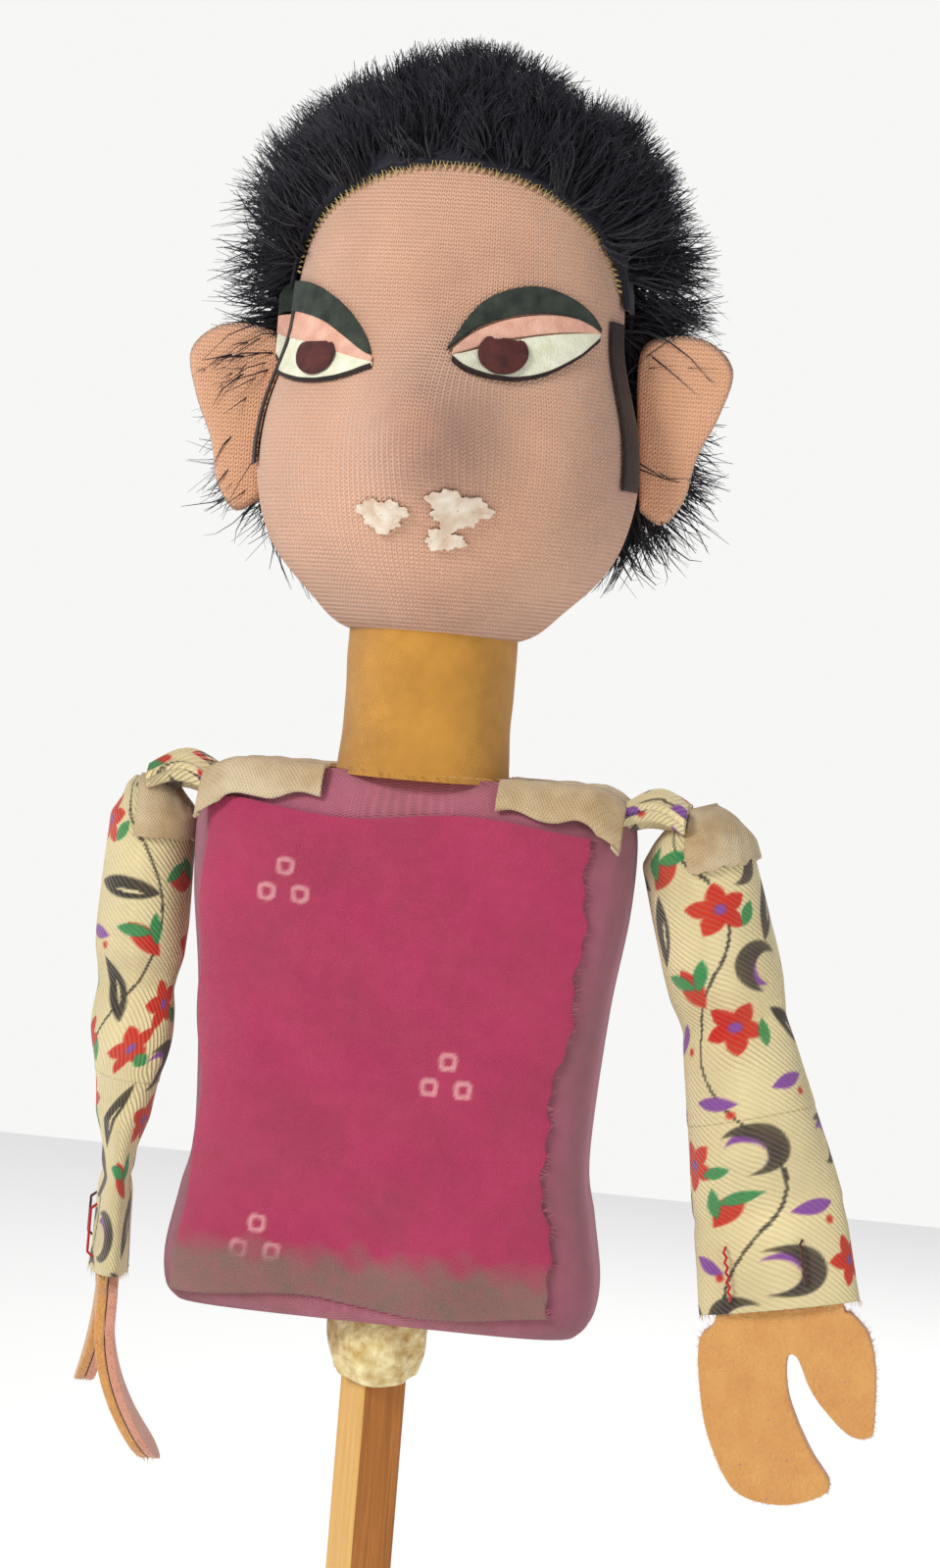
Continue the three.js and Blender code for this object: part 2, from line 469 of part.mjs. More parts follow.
for (const [side, spec] of Object.entries(sides)) {
  const { sign, offset, width, depth, foreWidth, foreDepth, twist } = spec;
  const shoulder = new THREE.Group();
  shoulder.position.set(sign * SHOULDER_X, 0, SHOULDER_Z);
  shoulder.rotation.y = radians(-sign * spec.lean);
  puppet.add(shoulder);
  const gather = new THREE.CylinderGeometry(GATHER_R, GATHER_R, GATHER_WIDTH, 20);
  addPiece(`${side}_shoulder_gather`, gather, 'sleeve', shoulder);

  const x = sign * offset;
  const upper = sleeveAndStuffing([
    [5.2, x + sign * 2.5, 5, 6, 0], [10, x + sign * 1, width - 6, depth - 3, 0], [16, x, width - 0.8, depth, 0],
    [32, x, width, depth, 0], [52, x, width + 0.4, depth, 0], [ELBOW_DOWN - ELBOW_SPACE - 7, x, width, 10, 0],
    [ELBOW_DOWN - ELBOW_SPACE, x, width - 1, 5.8, 0],
  ]);
  addPiece(`${side}_upper_sleeve`, geometryOf(upper.sleeve), 'sleeve', shoulder);
  addPiece(`${side}_upper_arm_stuffing`, geometryOf(upper.stuffing), 'stuffing', shoulder);
  const capTop = [[3.6, x + sign * 2.5, 8, 8, 0], [10, x + sign * 1, width - 5.4, depth - 2.4, 0],
    [16, x, width - 0.2, depth + 0.6, 0], [22, x, width + 0.3, depth + 0.8, 0]];
  const capInner = [[5.2 - GAP, x + sign * 2.5, 5.4, 6.4, 0], [10, x + sign * 1, width - 5.6, depth - 2.6, 0],
    [16, x, width - 0.4, depth + 0.4, 0], [24, x, width + 0.4, depth + 0.4, 0]];
  const outerHalf = sign > 0 ? box(x + 1, x + 40, -40, 40, -18, 5) : box(x - 40, x - 1, -40, 40, -18, 5);
  const cap = armLoft(capTop, -COTTON).subtract(armLoft(capInner, 0)).intersect(outerHalf);
  addPiece(`${side}_shoulder_cap`, geometryOf(mainBody(cap)), 'rawCotton', shoulder);

  const elbowHalf = ELBOW_SPACE - GAP - TILT_ROOM;
  const elbow = solidOf(loft([
    ring(-ELBOW_DOWN - elbowHalf, width - 3, 2.6, 2.4, ARM_SIDES, x), ring(-ELBOW_DOWN, width - 4, 2, 2.4, ARM_SIDES, x),
    ring(-ELBOW_DOWN + elbowHalf, width - 3, 2.6, 2.4, ARM_SIDES, x),
  ]));
  addPiece(`${side}_elbow_cloth`, geometryOf(elbow), 'sleeve', shoulder);

  // Below the elbow, distances run down from the elbow's hinge.
  const forearm = new THREE.Group();
  forearm.position.set(x, 0, -ELBOW_DOWN);
  forearm.rotation.y = radians(-sign * spec.foreLean);
  shoulder.add(forearm);
  const foreLength = WRIST_DOWN - ELBOW_DOWN;
  const turned = (share) => -sign * twist * share;
  const fore = sleeveAndStuffing([
    [ELBOW_SPACE, 0, width - 1, 5.8, 0], [ELBOW_SPACE + 9, 0, width, Math.min(11.5, foreDepth + 1), turned(0.3)],
    [26, 0, (width + foreWidth) / 2, foreDepth, turned(0.75)], [42, 0, foreWidth, foreDepth, turned(1)],
    [foreLength - 7, 0, foreWidth + 1.5, 8.5, turned(1)], [foreLength - WRIST_SPACE, 0, CUFF_HALF - 2, 5, turned(1)],
  ]);
  addPiece(`${side}_forearm_sleeve`, geometryOf(fore.sleeve), 'sleeve', forearm);
  addPiece(`${side}_forearm_stuffing`, geometryOf(fore.stuffing), 'stuffing', forearm);

  // The wrist's fold, and below it the flat cuff with the hand sewn in.
  const hand = new THREE.Group();
  hand.position.set(0, 0, -foreLength);
  hand.rotation.y = radians(-sign * spec.handLean);
  forearm.add(hand);
  const turnedHand = new THREE.Group();
  turnedHand.rotation.z = radians(-sign * twist);
  hand.add(turnedHand);
  const foldHalf = WRIST_SPACE - GAP - TILT_ROOM;
  const foldWidth = CUFF_HALF - 8;
  const fold = solidOf(loft([
    ring(-foldHalf - TILT_ROOM / 2, foldWidth, 1.6, 2.4, ARM_SIDES), ring(0, foldWidth, 1.2, 2.4, ARM_SIDES),
    ring(foldHalf - TILT_ROOM / 2, foldWidth, 1.6, 2.4, ARM_SIDES),
  ]));
  addPiece(`${side}_wrist_cloth`, geometryOf(fold), 'sleeve', turnedHand);
  const cuffOuter = [ring(-WRIST_SPACE - CUFF_LENGTH, CUFF_HALF, CUFF_HALF_DEPTH, 2.6, ARM_SIDES),
    ring(-WRIST_SPACE - 10, CUFF_HALF - 0.5, CUFF_HALF_DEPTH - 0.4, 2.6, ARM_SIDES),
    ring(-WRIST_SPACE, CUFF_HALF - 2, CUFF_HALF_DEPTH - 1.4, 2.6, ARM_SIDES)];
  const cuffInner = [ring(-WRIST_SPACE - CUFF_LENGTH - 1, CUFF_HALF - SLEEVE, CUFF_HALF_DEPTH - SLEEVE, 2.6, ARM_SIDES),
    ring(-WRIST_SPACE + 1, CUFF_HALF - 2 - SLEEVE, CUFF_HALF_DEPTH - 1.4 - SLEEVE, 2.6, ARM_SIDES)];
  const cuff = solidOf(loft(cuffOuter)).subtract(solidOf(loft(cuffInner)));
  addPiece(`${side}_cuff`, geometryOf(cuff), 'sleeve', turnedHand);
  const outline = handShape(sign);
  const half = GAP / 2;
  addPiece(`${side}_hand_palm`, geometryOf(plateXZ(outline, -half - FELT, -half, 3)), 'palm', turnedHand);
  addPiece(`${side}_hand_back`, geometryOf(plateXZ(outline, half, half + FELT, 3)), 'handBack', turnedHand);
}

export default puppet;
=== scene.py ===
"""The looks of a hand-held rod puppet: knitted head, shaggy wig, tie-dyed trunk and two printed cloth arms."""

import math

import bpy
import numpy as np
from mathutils import Matrix, Vector


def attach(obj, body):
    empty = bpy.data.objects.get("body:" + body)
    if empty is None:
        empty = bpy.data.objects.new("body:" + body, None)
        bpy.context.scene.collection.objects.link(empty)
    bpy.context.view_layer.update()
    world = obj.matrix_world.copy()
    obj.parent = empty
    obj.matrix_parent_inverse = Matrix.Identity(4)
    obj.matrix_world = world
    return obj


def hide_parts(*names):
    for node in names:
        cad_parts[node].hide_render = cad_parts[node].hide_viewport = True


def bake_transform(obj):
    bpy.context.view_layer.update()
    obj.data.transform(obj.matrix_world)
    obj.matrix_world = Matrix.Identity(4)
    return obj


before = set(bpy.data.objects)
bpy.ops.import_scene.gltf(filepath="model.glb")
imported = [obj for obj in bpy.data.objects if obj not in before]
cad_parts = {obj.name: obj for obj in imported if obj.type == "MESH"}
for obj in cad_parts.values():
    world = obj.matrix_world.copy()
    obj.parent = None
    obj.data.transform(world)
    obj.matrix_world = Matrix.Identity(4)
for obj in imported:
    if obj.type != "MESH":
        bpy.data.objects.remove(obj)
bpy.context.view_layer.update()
bpy.ops.object.select_all(action="DESELECT")
scene = bpy.context.scene
MM = 0.001

# Camera, at the height of the shoulders, a little to the puppet's left, and leaning as the photograph does.
AIM = Vector((0.0153, 0.0, 0.415))
CAMERA_DISTANCE = 1.15
CAMERA_AZIMUTH = math.radians(8)
CAMERA_HEIGHT = math.radians(2)
CAMERA_ROLL = math.radians(4.7)
SEEN_HEIGHT = 0.496
SENSOR = 36.0
camera = bpy.data.objects.new("camera", bpy.data.cameras.new("camera"))
scene.collection.objects.link(camera)
scene.camera = camera
away = Vector((math.sin(CAMERA_AZIMUTH) * math.cos(CAMERA_HEIGHT),
               -math.cos(CAMERA_AZIMUTH) * math.cos(CAMERA_HEIGHT), math.sin(CAMERA_HEIGHT)))
camera.location = AIM + away * CAMERA_DISTANCE
camera.rotation_mode = "QUATERNION"
camera.rotation_quaternion = (-away).to_track_quat("-Z", "Y") @ Matrix.Rotation(CAMERA_ROLL, 4, "Z").to_quaternion()
camera.data.sensor_width = SENSOR
camera.data.lens = SENSOR * CAMERA_DISTANCE / SEEN_HEIGHT

# Soft studio light from above and both sides, and a pale floor under a white background.
def area_light(name, place, size, power):
    data = bpy.data.lights.new(name, "AREA")
    data.shape = "SQUARE"
    data.size = size
    data.energy = power
    lamp = bpy.data.objects.new(name, data)
    scene.collection.objects.link(lamp)
    lamp.location = place
    lamp.rotation_mode = "QUATERNION"
    lamp.rotation_quaternion = (AIM - Vector(place)).to_track_quat("-Z", "Y")


area_light("key_light", (-0.9, -1.2, 1.3), 0.5, 20)
area_light("fill_light", (1.2, -1.2, 0.5), 1.0, 5)
area_light("back_light", (0.3, 1.4, 1.2), 0.8, 9)
world = bpy.data.worlds.new("room")
scene.world = world
world.use_nodes = True
room = world.node_tree
ambient = room.nodes["Background"]
ambient.inputs["Color"].default_value = (0.95, 0.97, 1.0, 1)
ambient.inputs["Strength"].default_value = 0.45
white_room = room.nodes.new("ShaderNodeBackground")
white_room.inputs["Color"].default_value = (0.93, 0.93, 0.92, 1)
rays = room.nodes.new("ShaderNodeLightPath")
room_mix = room.nodes.new("ShaderNodeMixShader")
room.links.new(rays.outputs["Is Camera Ray"], room_mix.inputs[0])
room.links.new(ambient.outputs[0], room_mix.inputs[1])
room.links.new(white_room.outputs[0], room_mix.inputs[2])
room.links.new(room_mix.outputs[0], room.nodes["World Output"].inputs["Surface"])
scene.view_settings.view_transform = "Standard"
bpy.ops.mesh.primitive_plane_add(size=4, location=(0, 0, -0.0005))
floor = bpy.context.object
floor.name = "floor"
floor_paint = bpy.data.materials.new("floor_paint")
floor_paint.use_nodes = True
floor_paint.node_tree.nodes["Principled BSDF"].inputs["Base Color"].default_value = (0.85, 0.84, 0.82, 1)
glow = floor_paint.node_tree.nodes["Principled BSDF"]
glow.inputs["Emission Color"].default_value = (0.93, 0.93, 0.92, 1)
glow.inputs["Emission Strength"].default_value = 0.34
floor.data.materials.append(floor_paint)
floor.select_set(False)


# Trunk. A block of foam wrapped in faded tie-dyed cotton, closed over the top; the cloth is glued to the foam.
TRUNK_ROWS = np.array([
    [245, 64, 23], [250, 68, 26], [262, 69, 27], [281, 65.7, 26.7], [300, 62.5, 26.5], [345, 65, 27],
    [377, 69, 27], [400, 69.5, 26.5], [410, 66.5, 24], [417, 58.5, 18]], float)
TRUNK_SQUARENESS = 4.5
BAND_INSET = 0.2


class Shading:
    """A material being put together, with short names for its nodes."""

    def __init__(self, name, roughness=0.9, sheen=0.25):
        self.material = bpy.data.materials.new(name)
        self.material.use_nodes = True
        self.tree = self.material.node_tree
        self.shader = self.tree.nodes["Principled BSDF"]
        self.shader.inputs["Roughness"].default_value = roughness
        self.shader.inputs["Sheen Weight"].default_value = sheen
        self.shader.inputs["Specular IOR Level"].default_value = 0.2

    def put(self, value, socket):
        if isinstance(value, bpy.types.NodeSocket):
            self.tree.links.new(value, socket)
        else:
            socket.default_value = value

    def math(self, operation, a, b=0.0, c=0.0):
        node = self.tree.nodes.new("ShaderNodeMath")
        node.operation = operation
        for value, socket in zip((a, b, c), node.inputs):
            self.put(value, socket)
        return node.outputs[0]

    def flat(self):
        """The cloth's own flat millimetres, along and across."""
        node = self.tree.nodes.new("ShaderNodeUVMap")
        node.uv_map = "flat"
        split = self.tree.nodes.new("ShaderNodeSeparateXYZ")
        self.tree.links.new(node.outputs[0], split.inputs[0])
        return split.outputs[0], split.outputs[1]

    def paint(self):
        node = self.tree.nodes.new("ShaderNodeAttribute")
        node.attribute_name = "paint"
        return node.outputs["Color"]

    def noise(self, size_mm, detail=3.0, low=0.3, high=0.7):
        place = self.tree.nodes.new("ShaderNodeTexCoord")
        node = self.tree.nodes.new("ShaderNodeTexNoise")
        node.inputs["Scale"].default_value = 1000.0 / size_mm
        node.inputs["Detail"].default_value = detail
        self.tree.links.new(place.outputs["Object"], node.inputs["Vector"])
        spread = self.tree.nodes.new("ShaderNodeMapRange")
        spread.inputs["From Min"].default_value = low
        spread.inputs["From Max"].default_value = high
        self.tree.links.new(node.outputs[0], spread.inputs["Value"])
        return spread.outputs[0]

    def mix(self, share, a, b, blend="MIX"):
        node = self.tree.nodes.new("ShaderNodeMix")
        node.data_type = "RGBA"
        node.blend_type = blend
        self.put(share, node.inputs[0])
        self.put(a, node.inputs[6])
        self.put(b, node.inputs[7])
        return node.outputs[2]

    def finish(self, colour, height, depth_mm, strength=0.8):
        self.put(colour, self.shader.inputs["Base Color"])
        bump = self.tree.nodes.new("ShaderNodeBump")
        bump.inputs["Strength"].default_value = strength
        bump.inputs["Distance"].default_value = depth_mm * MM
        self.put(height, bump.inputs["Height"])
        self.tree.links.new(bump.outputs[0], self.shader.inputs["Normal"])
        return self.material


def linear(colour, alpha=1.0):
    """A colour as seen, turned into light."""
    return tuple(c / 12.92 if c < 0.04045 else ((c + 0.055) / 1.055) ** 2.4 for c in colour) + (alpha,)


def plain_weave(s, u, v, pitch):
    over = s.math("SINE", s.math("MULTIPLY", u, 2 * math.pi / pitch))
    under = s.math("SINE", s.math("MULTIPLY", v, 2 * math.pi / pitch))
    return s.math("MULTIPLY", over, under)


def cotton_material(name, colour, pitch=0.9, soil=(0.45, 0.36, 0.28), soil_share=0.15):
    s = Shading(name)
    u, v = s.flat()
    weave = plain_weave(s, u, v, pitch)
    shade = s.math("MULTIPLY_ADD", weave, 0.06, 0.94)
    cloth = s.mix(1.0, s.paint(), linear(colour), "MULTIPLY")
    dirty = s.mix(s.math("MULTIPLY", s.noise(22), soil_share), cloth, linear(soil))
    worn = s.mix(s.math("MULTIPLY", s.noise(5, 6), 0.18), dirty, linear([min(1, c * 1.15 + 0.05) for c in colour]))
    light = s.tree.nodes.new("ShaderNodeCombineColor")
    for socket in light.inputs:
        s.put(shade, socket)
    return s.finish(s.mix(1.0, worn, light.outputs[0], "MULTIPLY"), weave, 0.25)


def grid_piece(name, rings, across, along, ends=(False, False), paint=None, round=True):
    """A piece through rows of points in mm, with its flat measures as a UV map. Rows run upwards and turn left."""
    rows, columns = rings.shape[:2]
    points = rings.reshape(-1, 3) * MM
    step = columns if round else columns - 1
    j, i = np.meshgrid(np.arange(rows - 1), np.arange(step), indexing="ij")
    right = (i + 1) % columns
    faces = np.stack([j * columns + i, j * columns + right, (j + 1) * columns + right, (j + 1) * columns + i], -1)
    faces = faces.reshape(-1, 4).tolist()
    u = np.stack([across[i], across[i + 1], across[i + 1], across[i]], -1).reshape(-1)
    v = np.stack([along[j], along[j], along[j + 1], along[j + 1]], -1).reshape(-1)
    flat = np.stack([u, v], -1)
    vertices = points.tolist()
    extra = []
    for closed, row, flip in ((ends[0], 0, True), (ends[1], rows - 1, False)):
        if not closed:
            continue
        middle = points[row * columns:(row + 1) * columns].mean(0)
        vertices.append(middle.tolist())
        centre = len(vertices) - 1
        for k in range(columns):
            a, b = row * columns + k, row * columns + (k + 1) % columns
            faces.append([centre, b, a] if flip else [centre, a, b])
            own = [points[a, :2] / MM, points[b, :2] / MM]
            extra += [middle[:2] / MM, own[1], own[0]] if flip else [middle[:2] / MM, own[0], own[1]]
    mesh = bpy.data.meshes.new(name)
    mesh.from_pydata(vertices, [], faces)
    layer = mesh.uv_layers.new(name="flat")
    whole = np.concatenate([flat, np.array(extra).reshape(-1, 2)]) if extra else flat
    layer.data.foreach_set("uv", whole.astype(np.float32).ravel())
    shades = np.ones((len(vertices), 4), np.float32)
    if paint is not None:
        shades[:rows * columns, :3] = paint.reshape(-1, 3)
    attribute = mesh.attributes.new("paint", "FLOAT_COLOR", "POINT")
    attribute.data.foreach_set("color", shades.ravel())
    mesh.shade_smooth()
    piece = bpy.data.objects.new(name, mesh)
    scene.collection.objects.link(piece)
    return piece


def thicken(piece, thickness_mm, offset=1.0):
    """Gives an open cloth its thickness, kept as a closed mesh."""
    solidify = piece.modifiers.new("thickness", "SOLIDIFY")
    solidify.thickness = thickness_mm * MM
    solidify.offset = offset
    bpy.context.view_layer.objects.active = piece
    bpy.ops.object.modifier_apply(modifier="thickness")
    return piece


def dress(piece, body, slot, material, *nodes, fill=None):
    piece.data.materials.clear()
    piece.data.materials.append(material)
    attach(piece, body)
    if nodes:
        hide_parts(*nodes)
    return piece


def wobble(a, b, size, seed):
    """Slow waves without a pattern, from -1 to 1."""
    rng = np.random.default_rng(seed)
    total = 0
    for k in range(5):
        fa, fb, phase = rng.uniform(0.5, 1.6, 3)
        total = total + np.sin(2 * math.pi * (a * fa + b * fb * (-1) ** k) / size + 7 * phase)
    return total / 5


def smooth_rows(rows, count):
    """Rows of values, drawn smoothly through by a Catmull-Rom curve."""
    rows = np.asarray(rows, float)
    t = np.linspace(0, len(rows) - 1, count)
    k = np.minimum(t.astype(int), len(rows) - 2)
    f = (t - k)[:, None]
    p0, p1 = rows[np.maximum(k - 1, 0)], rows[k]
    p2, p3 = rows[k + 1], rows[np.minimum(k + 2, len(rows) - 1)]
    return 0.5 * (2 * p1 + (p2 - p0) * f + (2 * p0 - 5 * p1 + 4 * p2 - p3) * f ** 2
                  + (3 * p1 - p0 - 3 * p2 + p3) * f ** 3)


def oval(angle, a, b, squareness):
    c, s = np.cos(angle), np.sin(angle)
    return (a * np.sign(c) * np.abs(c) ** (2 / squareness), b * np.sign(s) * np.abs(s) ** (2 / squareness))


def stack(rows, columns, squareness, inset=0.0):
    """Rings of mm points through rows of height, half width and half depth."""
    angle = np.linspace(0, 2 * math.pi, columns, endpoint=False)[None, :]
    x, y = oval(angle, rows[:, 1:2] - inset, rows[:, 2:3] - inset, squareness)
    z = np.repeat(rows[:, :1], columns, 1)
    return np.stack([x, y, z], -1)


trunk_rows = smooth_rows(TRUNK_ROWS, 130)
trunk_rings = stack(trunk_rows, 220, TRUNK_SQUARENESS, BAND_INSET)
trunk_rings[..., 2] = np.clip(trunk_rings[..., 2], 245 + BAND_INSET, 417 - BAND_INSET)
dents = 0.5 * wobble(trunk_rings[..., 0], trunk_rings[..., 2], 46, 3)
trunk_rings[..., 1] *= 1 + 0.012 * dents
round_mm = np.linspace(0, 390, 221)
soiled = np.clip((262 - trunk_rings[..., 2]) / 22 + 0.3 * wobble(trunk_rings[..., 0], trunk_rings[..., 2], 20, 8), 0, 1)
band_paint = 1 - soiled[..., None] * (1 - np.array([0.72, 0.82, 0.72]))
band = grid_piece("trunk_side_band_cloth", trunk_rings, round_mm, trunk_rows[:, 0], (True, True), band_paint)
faded_cotton = cotton_material("faded_tie_dye", (0.70, 0.38, 0.46), soil_share=0.3)
dress(band, "figure", "faded_tie_dye", faded_cotton, "trunk_side_band", "trunk_core", fill=0.9)


# Trunk panels. Magenta tie-dyed cotton cut a little larger by hand, glued over the band, frayed at the right edge.
# Rings of undyed cloth round a dyed middle lie in threes, where the cloth was tied before it was dyed.
PANEL_LOW, PANEL_HIGH = 251.0, 404.0
RING_OUT, RING_IN = 3.1, 1.2
RING_GROUP = 5.6
GROUP_STEP = 56.0
FIRST_GROUP = (-36.5, 380.0)


def trunk_half(z):
    return np.interp(z, trunk_rows[:, 0], trunk_rows[:, 1]), np.interp(z, trunk_rows[:, 0], trunk_rows[:, 2])


def tied_rings(x, z):
    """How undyed the cloth is at each place, from 0 to 1."""
    undyed = np.zeros_like(x)
    for row in range(-1, 4):
        for column in range(-1, 3):
            if (row + column) % 2:
                continue
            cx, cz = FIRST_GROUP[0] + GROUP_STEP * column, FIRST_GROUP[1] - GROUP_STEP * row
            for turn in (90, 210, 330):
                dx = x - cx - RING_GROUP * 1.1 * math.cos(math.radians(turn))
                dz = z - cz - RING_GROUP * math.sin(math.radians(turn))
                far = (np.abs(dx) ** 3 + np.abs(dz) ** 3) ** (1 / 3) + 0.35 * wobble(dx, dz, 5, 30 + row * 9 + column * 3)
                ring = np.clip((RING_OUT - far) / 0.6, 0, 1) * np.clip((far - RING_IN) / 0.6, 0, 1)
                undyed = np.maximum(undyed, ring)
    return undyed


def panel_points(columns, rows, side):
    z = np.linspace(PANEL_LOW, PANEL_HIGH, rows)[:, None]
    share = np.linspace(0, 1, columns)[None, :]
    inward = np.exp(-((z - 306) / 34) ** 2)
    left = -63.5 + 4.5 * inward + 0.7 * np.sin(z / 6.1)
    right = 57.5 - 6.5 * inward + 0.9 * np.sin(z / 5.3) + 0.5 * np.sin(z / 1.7)
    x = left + (right - left) * share
    z = z + 1.8 * np.sin(x / 13) * (2 * (z - PANEL_LOW) / (PANEL_HIGH - PANEL_LOW) - 1)
    z = z + 0.0 * x
    half, deep = trunk_half(z)
    y = deep * (1 - np.clip(np.abs(x) / half, 0, 1) ** TRUNK_SQUARENESS) ** (1 / TRUNK_SQUARENESS)
    y = y + 0.35 + 0.25 * wobble(x, z, 30, 5 + side)
    return np.stack([side * -x if side > 0 else x, side * y, z], -1), x, z


tie_dye_cotton = cotton_material("tie_dye", (0.72, 0.20, 0.36), soil_share=0.14)
UNDYED = np.array([1.75, 11.0, 3.6])
for side, name in ((-1, "trunk_front_panel"), (1, "trunk_back_panel")):
    points, flat_x, flat_z = panel_points(150, 190, side)
    undyed = tied_rings(flat_x, flat_z)[..., None]
    grime = np.clip((PANEL_LOW + 19 - flat_z) / 9 + 0.4 * wobble(flat_x, flat_z, 17, 4), 0, 1)[..., None]
    blotch = 1 + 0.10 * wobble(flat_x, flat_z, 60, 9)[..., None]
    shades = (1 + undyed * (UNDYED - 1)) * blotch
    shades = shades * (1 - grime) + grime * np.array([0.55, 4.6, 1.15]) * blotch
    panel = grid_piece(name + "_cloth", points, np.linspace(-64, 58, 150), np.linspace(251, 404, 190), (False, False),
                       shades, round=False)
    thicken(panel, 0.9)
    dress(panel, "figure", "tie_dye", tie_dye_cotton, name)


# Threads. Loose cotton ends along cut edges, each a thin tapering strand.
def strand_piece(name, roots, tips, sag, radius_mm, seed, steps=5):
    """Many thin tapering three-sided strands, from roots to tips in mm, bowed by sag."""
    count = len(roots)
    rng = np.random.default_rng(seed)
    t = np.linspace(0, 1, steps)[None, :, None]
    line = roots[:, None] * (1 - t) + tips[:, None] * t + sag[:, None] * (4 * t * (1 - t))
    along = tips - roots
    along = along / np.maximum(np.linalg.norm(along, axis=1, keepdims=True), 1e-6)
    other = np.cross(along, rng.normal(size=(count, 3)))
    other /= np.maximum(np.linalg.norm(other, axis=1, keepdims=True), 1e-6)
    third = np.cross(along, other)
    wide = np.asarray(radius_mm, float).reshape(-1, 1, 1) * (1 - 0.85 * t)
    corners = []
    for k in range(3):
        a = 2 * math.pi * k / 3
        corners.append(line + wide * (math.cos(a) * other + math.sin(a) * third)[:, None])
    points = np.stack(corners, 2).reshape(-1, 3) * MM
    base = (np.arange(count) * steps * 3)[:, None]
    faces = []
    for j in range(steps - 1):
        for k in range(3):
            a, b = j * 3 + k, j * 3 + (k + 1) % 3
            faces.append(np.stack([base + a, base + b, base + b + 3, base + a + 3], -1).reshape(-1, 4))
    quads = np.concatenate(faces)
    last = (steps - 1) * 3
    ends = np.concatenate([np.concatenate([base, base + 2, base + 1], 1),
                           np.concatenate([base + last, base + last + 1, base + last + 2], 1)])
    mesh = bpy.data.meshes.new(name)
    mesh.from_pydata(points.tolist(), [], quads.tolist() + ends.tolist())
    mesh.shade_smooth()
    piece = bpy.data.objects.new(name, mesh)
    scene.collection.objects.link(piece)
    return piece


def thread_material(name, colour, roughness=0.8):
    s = Shading(name, roughness, 0.3)
    twist = s.noise(0.8, 2)
    shade = s.mix(s.math("MULTIPLY", s.noise(9), 0.45), linear(colour), linear([c * 0.6 for c in colour]))
    return s.finish(shade, twist, 0.1, 0.4)


rng = np.random.default_rng(21)
edge = panel_points(150, 190, -1)[0][:, -1]
picks = rng.integers(0, len(edge), 150)
fray_roots = edge[picks] + np.array([-0.6, -0.5, 0])
fray_tips = fray_roots + np.stack([rng.uniform(1, 4.5, 150), rng.uniform(-1, 0.6, 150), rng.uniform(-2, 2, 150)], -1)
fray = strand_piece("panel_fray", fray_roots, fray_tips, rng.normal(0, 0.4, (150, 3)), np.full(150, 0.16), 4)
dress(fray, "figure", "tie_dye", thread_material("panel_thread", (0.80, 0.42, 0.48)))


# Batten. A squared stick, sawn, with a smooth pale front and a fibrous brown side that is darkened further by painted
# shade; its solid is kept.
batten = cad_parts["main_rod"]
wood = Shading("batten_wood", 0.55, 0.0)
place = wood.tree.nodes.new("ShaderNodeTexCoord")
turned = wood.tree.nodes.new("ShaderNodeMapping")
turned.inputs["Rotation"].default_value = (0, 0, math.radians(-35))
turned.inputs["Scale"].default_value = (1, 1, 0.035)
wood.tree.links.new(place.outputs["Object"], turned.inputs["Vector"])
fibre = wood.tree.nodes.new("ShaderNodeTexNoise")
fibre.inputs["Scale"].default_value = 900
fibre.inputs["Detail"].default_value = 6
wood.tree.links.new(turned.outputs[0], fibre.inputs["Vector"])
facing = wood.tree.nodes.new("ShaderNodeNewGeometry")
split = wood.tree.nodes.new("ShaderNodeSeparateXYZ")
wood.tree.links.new(facing.outputs["Normal"], split.inputs[0])
# Faces turned to the puppet's left get the darker brown: part fibrous grain, part painted shade.
shaded_side = wood.math("GREATER_THAN", wood.math("ADD", split.outputs[0], wood.math("MULTIPLY", split.outputs[1], 0.3)), 0.2)
streak = wood.math("MULTIPLY", fibre.outputs[0], 0.8)
smooth_face = wood.mix(streak, linear((0.92, 0.76, 0.47)), linear((0.74, 0.52, 0.26)))
fibrous_face_in_painted_shade = wood.mix(streak, linear((0.78, 0.50, 0.24)), linear((0.36, 0.20, 0.09)))
batten.data.materials.clear()
batten.data.materials.append(wood.finish(wood.mix(shaded_side, smooth_face, fibrous_face_in_painted_shade), fibre.outputs[0], 0.6))


# Collar. A twist of cotton soaked in glue, dried hard round the batten where it leaves the trunk.
angle = np.linspace(0, 2 * math.pi, 90, endpoint=False)[None, :]
drop = np.linspace(0, 1, 40)[:, None]
collar_radius = 12.9 + 3.1 * np.sin(drop * 2.2) + 0.5 * np.sin(angle * 7 + drop * 5) + 0.5 * np.sin(angle * 3)
collar_height = 224.6 + 20.4 * drop + 1.3 * np.sin(angle * 2 + 1) * (1 - drop)
collar_points = np.stack([collar_radius * np.cos(angle), collar_radius * np.sin(angle), collar_height + 0 * angle], -1)
collar = grid_piece("rod_collar_cloth", collar_points, np.linspace(0, 95, 91), np.linspace(0, 20, 40), (False, False))
thicken(collar, 1.6, -1.0)
glue_cloth = Shading("glued_collar", 0.45, 0.1)
crust = glue_cloth.noise(4, 6)
glue_colour = glue_cloth.mix(crust, linear((0.72, 0.58, 0.30)), linear((0.93, 0.88, 0.68)))
dress(collar, "figure", "glued_collar", glue_cloth.finish(glue_colour, crust, 0.8), "rod_collar")


